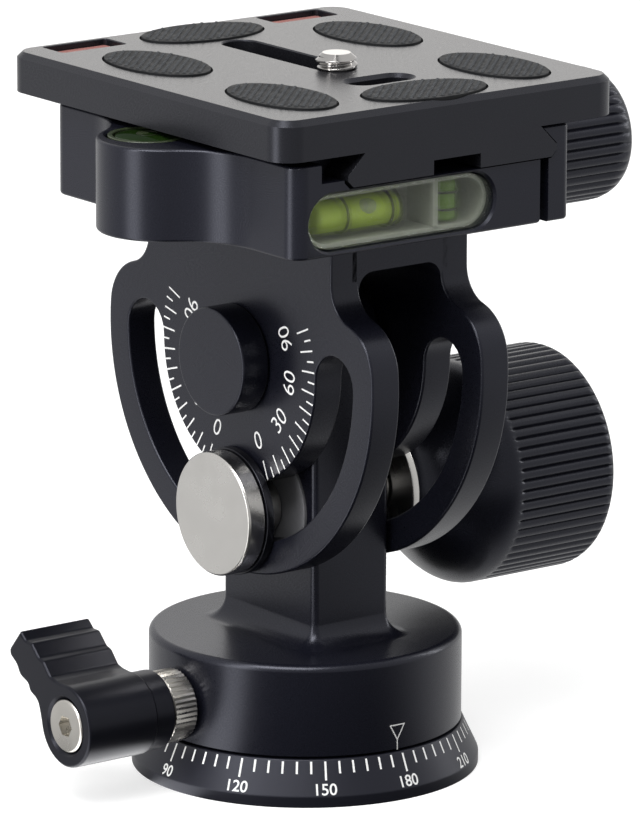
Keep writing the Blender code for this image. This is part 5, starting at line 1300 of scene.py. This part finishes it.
def round_level():
    """The bullseye: its cup, domed liquid, bubble and ring."""
    cup, bottom, top = middle("bullseye_cup"), low("bullseye_cup").z, high("bullseye_cup").z
    outer = high("bullseye_cup").x - cup.x
    axis = (cup.x, cup.y, 0)
    shell = turned([(0, bottom), (outer, bottom), (outer, top), (outer - CUP_WALL, top),
                    (outer - CUP_WALL, bottom + CUP_WALL), (0, bottom + CUP_WALL)], axis, ease=CUP_EASE)
    # The cup, liquid and bubble colours carry painted shade from the plate above
    dress(shell, "bullseye_cup_fine", CUP_GREEN_SHADED, "tilt_head", "clear_cover", "bullseye_cup")
    inner = outer - CUP_WALL - GAP
    bottom = low("bullseye_vial").z
    dome = [(0, bottom), (inner, bottom), (inner, top - GAP)]
    for i in range(1, ARC_STEPS):
        turn = math.pi / 2 * i / ARC_STEPS
        dome.append((inner * math.cos(turn), top - GAP + CROWN * math.sin(turn)))
    dome.append((0, top - GAP + CROWN))
    dress(turned(dome, axis), "bullseye_liquid", ROUND_FLUID_SHADED, "tilt_head", "level_fluid", "bullseye_vial")
    spot = Vector((cup.x, cup.y, top)) + Vector(ROUND_BUBBLE_SHIFT)
    dress(ball(spot, ROUND_BUBBLE_RADII), "bullseye_bubble", CUP_GREEN_SHADED, "tilt_head", "level_fluid")
    mark = tube(ROUND_RING_OUTER, ROUND_RING_INNER, top + ROUND_RING_START, top + ROUND_RING_END, axis)
    dress(mark, "bullseye_ring", RING_PAINT, "tilt_head", "level_fluid")


def ball(centre, radii, steps=32):
    """An ellipsoid."""
    sections = []
    for j in range(1, steps // 2):
        lift = math.pi * j / (steps // 2) - math.pi / 2
        ring = circle((0, 0), math.cos(lift), steps)
        height = centre.z + radii[2] * math.sin(lift)
        sections.append([(centre.x + radii[0] * u, centre.y + radii[1] * v, height) for u, v in ring])
    return loft(sections)


# Camera plate

PLATE_EDGE = 0.00090
PLATE_CORNER = 0.0040
PLATE_MOUTH = 0.0002
SLOT_HALF = 0.0030
SLOT_START = -0.0206
WELL_MARGIN = 0.0046
WELL_HALF_WIDTH = 0.0086
WELL_CORNER = 0.0006
WELL_HEIGHT = 0.0044
NOTCH_SHIFT = 0.0007
NOTCH_HALF_WIDTH = 0.0044
NOTCH_HEIGHT = 0.0022
OVAL_X = 0.0168
OVAL_RADIUS = 0.0025
OVAL_HALF_LENGTH = 0.0056
OVAL_SINK = 0.0006
PAD_FLOOR = 0.0013
PAD_PITCH = 0.00150
BUMP_FOOT = 0.00056
BUMP_CROWN = 0.00026
INSERT_CORNER = 0.0006
INSERT_EDGE = 0.0002
POCKET_DEPTH = 0.0022
POCKET_MOUTH = 0.00015
PADS = ["grip_pad_%d" % number for number in range(1, 7)]
INSERTS = ("end_insert_front", "end_insert_rear")


def flared(ring_at, depth, flare):
    """A cutter from the plate's top down, whose mouth widens by a flare."""
    sections = []
    for grow, height in ((0, PLATE_TOP - depth), (0, PLATE_TOP - flare), (flare, PLATE_TOP),
                         (flare, PLATE_TOP + OVERRUN)):
        sections.append([(u, v, height) for u, v in ring_at(grow)])
    return loft(sections)


def slot_ring(grow):
    """The camera screw's slot, grown all round."""
    end = SCREW_X + SLOT_HALF
    return stadium(((SLOT_START + end) / 2, PLATE_CENTRE_Y), (end - SLOT_START) / 2 + grow, SLOT_HALF + grow)


def oval_ring(grow):
    """The pin's oval hole, grown all round."""
    return stadium((OVAL_X, PLATE_CENTRE_Y), OVAL_HALF_LENGTH + grow, OVAL_RADIUS + grow, False)


def insert_ring(node, grow):
    """An insert's outline, grown all round."""
    return rounded_box((low(node).x - grow, low(node).y - grow), (high(node).x + grow, high(node).y + grow),
                       INSERT_CORNER + max(0.0, grow - GAP))


def pad_ring(node, grow):
    """A pad's oval, grown all round."""
    centre, half = middle(node), high(node) - middle(node)
    return [(centre.x + (half.x + grow) * u, centre.y + (half.y + grow) * v) for u, v in circle((0, 0), 1)]


def camera_plate():
    """The quick-release plate with its slot, oval hole and pockets."""
    half_x = high("camera_plate").x
    half_y = (high("camera_plate").y - low("camera_plate").y) / 2
    plan = rounded_box((-half_x, PLATE_CENTRE_Y - half_y), (half_x, PLATE_CENTRE_Y + half_y), PLATE_CORNER,
                       ARC_STEPS)
    body = prism(plan, "Z", PLATE_BOTTOM, PLATE_TOP, PLATE_EDGE, 1, False)
    inside = (PLATE_BOTTOM + PLATE_TOP) / 2
    side = dovetail_side(0)
    right = [(PLATE_CENTRE_Y + half, height) for half, height in side]
    left = [(PLATE_CENTRE_Y - half, height) for half, height in reversed(side)]
    tail = right + [(right[-1][0], inside), (left[0][0], inside)] + left
    body = join(body, prism(tail, "X", -half_x, half_x))
    below = DOVETAIL_BOTTOM - OVERRUN
    notch_y = PLATE_CENTRE_Y + NOTCH_SHIFT
    notch_top = DOVETAIL_BOTTOM + NOTCH_HEIGHT
    notch = [(notch_y - NOTCH_HALF_WIDTH, below), (notch_y + NOTCH_HALF_WIDTH, below),
             (notch_y + NOTCH_HALF_WIDTH, notch_top), (notch_y - NOTCH_HALF_WIDTH, notch_top)]
    well = rounded_box((SLOT_START - WELL_MARGIN, PLATE_CENTRE_Y - WELL_HALF_WIDTH),
                       (SCREW_X + SLOT_HALF + WELL_MARGIN, PLATE_CENTRE_Y + WELL_HALF_WIDTH), WELL_CORNER)
    cutters = [
        flared(slot_ring, PLATE_TOP - below, PLATE_MOUTH),
        flared(oval_ring, PLATE_TOP - below, OVAL_SINK),
        prism(well, "Z", below, DOVETAIL_BOTTOM + WELL_HEIGHT),
        prism(notch, "X", -half_x - OVERRUN, half_x + OVERRUN),
    ]
    cutters += [prism(pad_ring(pad, GAP), "Z", PLATE_TOP - PAD_FLOOR, PLATE_TOP + OVERRUN) for pad in PADS]
    for node in INSERTS:
        cutters.append(flared(lambda grow, node=node: insert_ring(node, GAP + grow), POCKET_DEPTH,
                              POCKET_MOUTH))
    body = cut(body, *cutters)
    dress(body, "camera_plate_fine", PLATE_BLACK, "camera_plate", "plate_black", "camera_plate",
          edge=FINE_EDGE)
    for pad in PADS:
        dress(grip_pad(pad), pad + "_fine", RUBBER, "camera_plate", "rubber", pad)
    for node in INSERTS:
        insert = prism(insert_ring(node, 0), "Z", low(node).z, high(node).z, INSERT_EDGE)
        dress(insert, node + "_fine", RED, "camera_plate", "red_insert", node)


def grip_pad(pad):
    """An oval pad: a thin skin carrying staggered rows of four-sided bumps."""
    centre = middle(pad)
    half = high(pad) - centre
    crown = high(pad).z
    skin_top, edge = crown - PAD_RELIEF, PAD_RELIEF / 4
    skin = prism(pad_ring(pad, 0), "Z", low(pad).z, skin_top, edge, 1, False)
    levels = ((BUMP_FOOT, skin_top - edge), (BUMP_CROWN, crown - edge), (BUMP_CROWN / 2, crown))
    reach_u, reach_v = 2 * int(half.x / PAD_PITCH) + 2, 2 * int(half.y / PAD_PITCH) + 2
    margin = PAD_PITCH / 3
    bm = bmesh.new()
    for i in range(-reach_u, reach_u + 1):
        for j in range(-reach_v, reach_v + 1):
            u, v = i * PAD_PITCH / 2, j * PAD_PITCH / 2
            if (i + j) % 2 or (u / (half.x - margin)) ** 2 + (v / (half.y - margin)) ** 2 > 1:
                continue
            rings = [[bm.verts.new((centre.x + u + reach * a, centre.y + v + reach * b, height))
                      for a, b in ((1, 0), (0, 1), (-1, 0), (0, -1))] for reach, height in levels]
            for lower, upper in zip(rings, rings[1:]):
                for k in range(4):
                    bm.faces.new((lower[k], lower[(k + 1) % 4], upper[(k + 1) % 4], upper[k]))
            bm.faces.new(rings[-1])
    return bundle(skin, solid(bm))


# Camera screw

SCREW_RADIUS = 0.003175
SCREW_PITCH = 0.00127
SCREW_ROOT = 0.00052
SCREW_TIP_RADIUS = 0.00215
SCREW_TIP_LEAN = 1.15
SCREW_FLANK_SHARE = 1.15
SCREW_CREST_SHARE = 1.3
SCREW_SIDES = 96
SCREW_ROWS = 64
SCREW_NECK = 0.0025
SCREW_HEAD_THICKNESS = 0.0024
SCREW_HEAD_EASE = 0.0002
COIN_HALF_LENGTH = 0.0060
COIN_HALF_WIDTH = 0.0006
COIN_CORNER = 0.0003
COIN_DEPTH = 0.0012


def screw_radius(share, height, tip):
    """Radius of the thread at a share of a turn and a height, narrowed toward the tip."""
    phase = (height / SCREW_PITCH - share) % 1
    ridge = max(0.0, 1 - abs(2 * phase - 1) * SCREW_FLANK_SHARE)
    radius = SCREW_RADIUS - SCREW_ROOT * (1 - min(1.0, ridge * SCREW_CREST_SHARE))
    return min(radius, SCREW_TIP_RADIUS + (tip - height) * SCREW_TIP_LEAN)


def camera_screw():
    """The camera screw with its thread above the plate and its flat head below."""
    start, tip = PLATE_TOP + GAP, high("camera_screw").z
    rows = []
    for j in range(SCREW_ROWS + 1):
        height = start + (tip - start) * j / SCREW_ROWS
        ring = []
        for i in range(SCREW_SIDES):
            angle = math.tau * i / SCREW_SIDES
            radius = screw_radius(i / SCREW_SIDES, height, tip)
            x, y = SCREW_X + radius * math.cos(angle), PLATE_CENTRE_Y + radius * math.sin(angle)
            ring.append((x, y, height))
        rows.append(ring)
    bottom, head = low("camera_screw").z, high("camera_screw").x - SCREW_X
    head_top = bottom + SCREW_HEAD_THICKNESS
    flat = turned([(0, bottom), (head, bottom), (head, head_top), (SCREW_NECK, head_top), (SCREW_NECK, start),
                   (0, start)], (SCREW_X, PLATE_CENTRE_Y, 0), ease=SCREW_HEAD_EASE)
    coin = rounded_box((SCREW_X - COIN_HALF_LENGTH, PLATE_CENTRE_Y - COIN_HALF_WIDTH),
                       (SCREW_X + COIN_HALF_LENGTH, PLATE_CENTRE_Y + COIN_HALF_WIDTH), COIN_CORNER)
    flat = cut(flat, prism(coin, "Z", bottom - OVERRUN, bottom + COIN_DEPTH))
    dress(bundle(loft(rows), flat), "camera_screw_fine", SCREW_STEEL, "camera_screw", "steel", "camera_screw")


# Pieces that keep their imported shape

PLAIN_FINISHES = {
    "pan_washer": POLYMER, "pan_spindle": INNER_STEEL, "pivot_bush": BRASS, "lock_shoe": BRASS,
    "knob_insert": INNER_STEEL, "yoke_screw_left": INNER_STEEL, "yoke_screw_right": INNER_STEEL,
    "pivot_axle": INNER_STEEL, "jaw_spring": INNER_STEEL, "guide_pin_left": INNER_STEEL,
    "guide_pin_right": INNER_STEEL, "clamp_screw": INNER_STEEL, "screw_retainer": INNER_STEEL,
}


def finish_plain_pieces():
    """Give the hidden pieces their materials."""
    for node, material in PLAIN_FINISHES.items():
        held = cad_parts[node]
        held.data.materials.clear()
        held.data.materials.append(material)
        for face in held.data.polygons:
            face.material_index = 0


# Studio

FLOOR_SIZE = 6.0
FLOOR_SHARE = 0.58
FLOOR_DARK = (0.54, 0.54, 0.54)
FLOOR_PALE = (0.56, 0.56, 0.56)
FLOOR_ROUGHNESS = 0.9
FLOOR_PATCH_SCALE = 3.0
# Levels of the set's glow; the near level is painted shadow on the floor round the object's foot
SET_NEAR_SHADOW = 0.04
SET_FRONT_GLOW = 0.50
SET_BACK_GLOW = 0.80
SET_NEAR_REACH = 0.07
SET_FAR_REACH = 0.30
SET_FADE_START = -0.78
SET_FADE_END = 0.12
STREAK_TURN = -50
STREAK_EDGE = math.cos(math.radians(15))
STREAK_CORE = math.cos(math.radians(4))
STREAK_GLOW = 3.2
CLIP_END = 10.0
WHITE = (1.0, 1.0, 1.0)
WARM = (1.0, 0.965, 0.91)
# Name, angle from the camera toward the right, elevation, distance, size, power, height aimed at, colour
LIGHTS = (
    ("key", -20, 56, 0.90, (0.60, 0.50), 7.5, TARGET_HEIGHT, WHITE),
    ("left_strip", STREAK_TURN, 20, 0.80, (0.10, 0.50), 1.0, TARGET_HEIGHT, WHITE),
    ("right_strip", 112, 20, 0.80, (0.10, 0.50), 1.0, TARGET_HEIGHT, WHITE),
    ("rear_panel", 178, 14, 0.27, (0.15, 0.10), 0.040, PLATE_TOP, WARM),
)


def soft_light(name, turn, lift, distance, size, power, height, colour):
    """A rectangular soft light that the camera does not see."""
    data = bpy.data.lights.new(name, "AREA")
    data.shape = "RECTANGLE"
    data.size, data.size_y = size
    data.energy = power
    data.color = colour
    made = bpy.data.objects.new(name, data)
    direction = toward(turn) * math.cos(math.radians(lift)) + Vector((0, 0, math.sin(math.radians(lift))))
    made.location = Vector((0, 0, height)) + direction * distance
    made.rotation_euler = direction.to_track_quat("Z", "Y").to_euler()
    made.visible_camera = False
    bpy.context.scene.collection.objects.link(made)


def toward(turn):
    """A level direction, as an angle from the camera toward the right."""
    around = CAMERA_AZIMUTH + math.radians(turn)
    return Vector((math.sin(around), -math.cos(around), 0))


def vector_node(tree, operation, values, links):
    """A vector sum; its inputs are given by number."""
    made = add_node(tree, "VectorMath", values, links)
    made.operation = operation
    return made.outputs


def set_tone(tree, place):
    """How brightly the set glows: dark before the object, darkest close round it where the floor carries
    painted shadow, pale behind it, and one bright streak at the left in line with the left strip lamp.
    """
    level = vector_node(tree, "MULTIPLY", {1: (1, 1, 0)}, {0: place})["Vector"]
    reach = vector_node(tree, "LENGTH", {}, {0: level})["Value"]
    unit = vector_node(tree, "NORMALIZE", {}, {0: level})["Vector"]
    front = ranged(tree, reach, (SET_NEAR_REACH, SET_FAR_REACH), (SET_NEAR_SHADOW, SET_FRONT_GLOW), True)
    glows = []
    for turn, edge, core, tone in ((180, SET_FADE_START, SET_FADE_END, SET_BACK_GLOW),
                                   (STREAK_TURN, STREAK_EDGE, STREAK_CORE, STREAK_GLOW)):
        facing = vector_node(tree, "DOT_PRODUCT", {1: toward(turn)}, {0: unit})["Value"]
        glows.append(ranged(tree, facing, (edge, core), (0.0, tone), True))
    tree.links.new(front.outputs["Result"], glows[0].inputs["To Min"])
    return add_node(tree, "Math", {}, {i: glows[i].outputs["Result"] for i in (0, 1)}).outputs["Value"]


def by_camera_ray(tree, seen, unseen, output):
    """Show one shader to the camera and another to every other ray."""
    paths = tree.nodes.new("ShaderNodeLightPath")
    mix = add_node(tree, "MixShader", {}, {"Fac": paths.outputs["Is Camera Ray"], 1: unseen, 2: seen})
    tree.links.new(mix.outputs["Shader"], tree.nodes[output].inputs["Surface"])


def floor():
    """The plain pale floor: white with a soft shadow to the camera; to every other ray it glows with painted
    light, the set's glow, which holds a painted shadow near the object and a bright streak.
    """
    half = FLOOR_SIZE / 2
    bm = bmesh.new()
    bm.faces.new([bm.verts.new((u * half, v * half, 0)) for u, v in ((-1, -1), (1, -1), (1, 1), (-1, 1))])
    made = solid(bm)
    made.name = "floor"
    made.location.z = -MERGE
    paper, tree, shader = blank("floor_white")
    tone = blend_colours(tree, cloud(tree, FLOOR_PATCH_SCALE, 1.0), FLOOR_DARK, FLOOR_PALE)
    tree.links.new(tone, shader.inputs["Base Color"])
    values = {"Roughness": FLOOR_ROUGHNESS, "Specular IOR Level": 0.0, "Emission Color": (*WHITE, 1),
              "Emission Strength": FLOOR_SHARE}
    for socket, value in values.items():
        shader.inputs[socket].default_value = value
    # To every ray but the camera's the floor glows: painted shadow near the object and a painted bright
    # streak
    glow = add_node(tree, "Emission", {}, {"Strength": set_tone(tree, place_in(tree))})
    by_camera_ray(tree, shader.outputs["BSDF"], glow.outputs["Emission"], "Material Output")
    made.data.materials.append(paper)


def surroundings():
    """The world: white behind the object to the camera, and the set's glow to everything else."""
    world = bpy.data.worlds.new("studio")
    bpy.context.scene.world = world
    world.use_nodes = True
    tree = world.node_tree
    white = {"Color": (1, 1, 1, 1)}
    back = add_node(tree, "Background", white, {"Strength": set_tone(tree, place_in(tree, "Generated"))})
    seen = add_node(tree, "Background", white, {})
    by_camera_ray(tree, seen.outputs["Background"], back.outputs["Background"], "World Output")


def studio():
    """Floor, surroundings and lights."""
    floor()
    surroundings()
    for light in LIGHTS:
        soft_light(*light)


def camera():
    """The camera of the photograph."""
    back = toward(0) * math.cos(CAMERA_ELEVATION) + Vector((0, 0, math.sin(CAMERA_ELEVATION)))
    right = Vector((math.cos(CAMERA_AZIMUTH), math.sin(CAMERA_AZIMUTH), 0))
    up = back.cross(right)
    place = right * TARGET_RIGHT + Vector((0, 0, TARGET_HEIGHT)) + back * CAMERA_DISTANCE
    rolled_right = right * math.cos(CAMERA_ROLL) - up * math.sin(CAMERA_ROLL)
    rolled_up = right * math.sin(CAMERA_ROLL) + up * math.cos(CAMERA_ROLL)
    data = bpy.data.cameras.new("camera")
    data.lens = CAMERA_LENS
    data.sensor_width = CAMERA_SENSOR
    data.clip_end = CLIP_END
    made = bpy.data.objects.new("camera", data)
    facing = Matrix((rolled_right, rolled_up, back)).transposed().to_4x4()
    made.matrix_world = Matrix.Translation(place) @ facing
    bpy.context.scene.collection.objects.link(made)
    bpy.context.scene.camera = made
    bpy.context.scene.view_settings.view_transform = "Standard"


for build in (base, mounting_thread, pan_head, tilt_bolt, pan_lock, tilt_knob, yoke, clamp_body, clamp_jaw,
              clamp_knob, level_window, tube_levels, round_level, camera_plate, camera_screw,
              finish_plain_pieces, studio, camera):
    build()
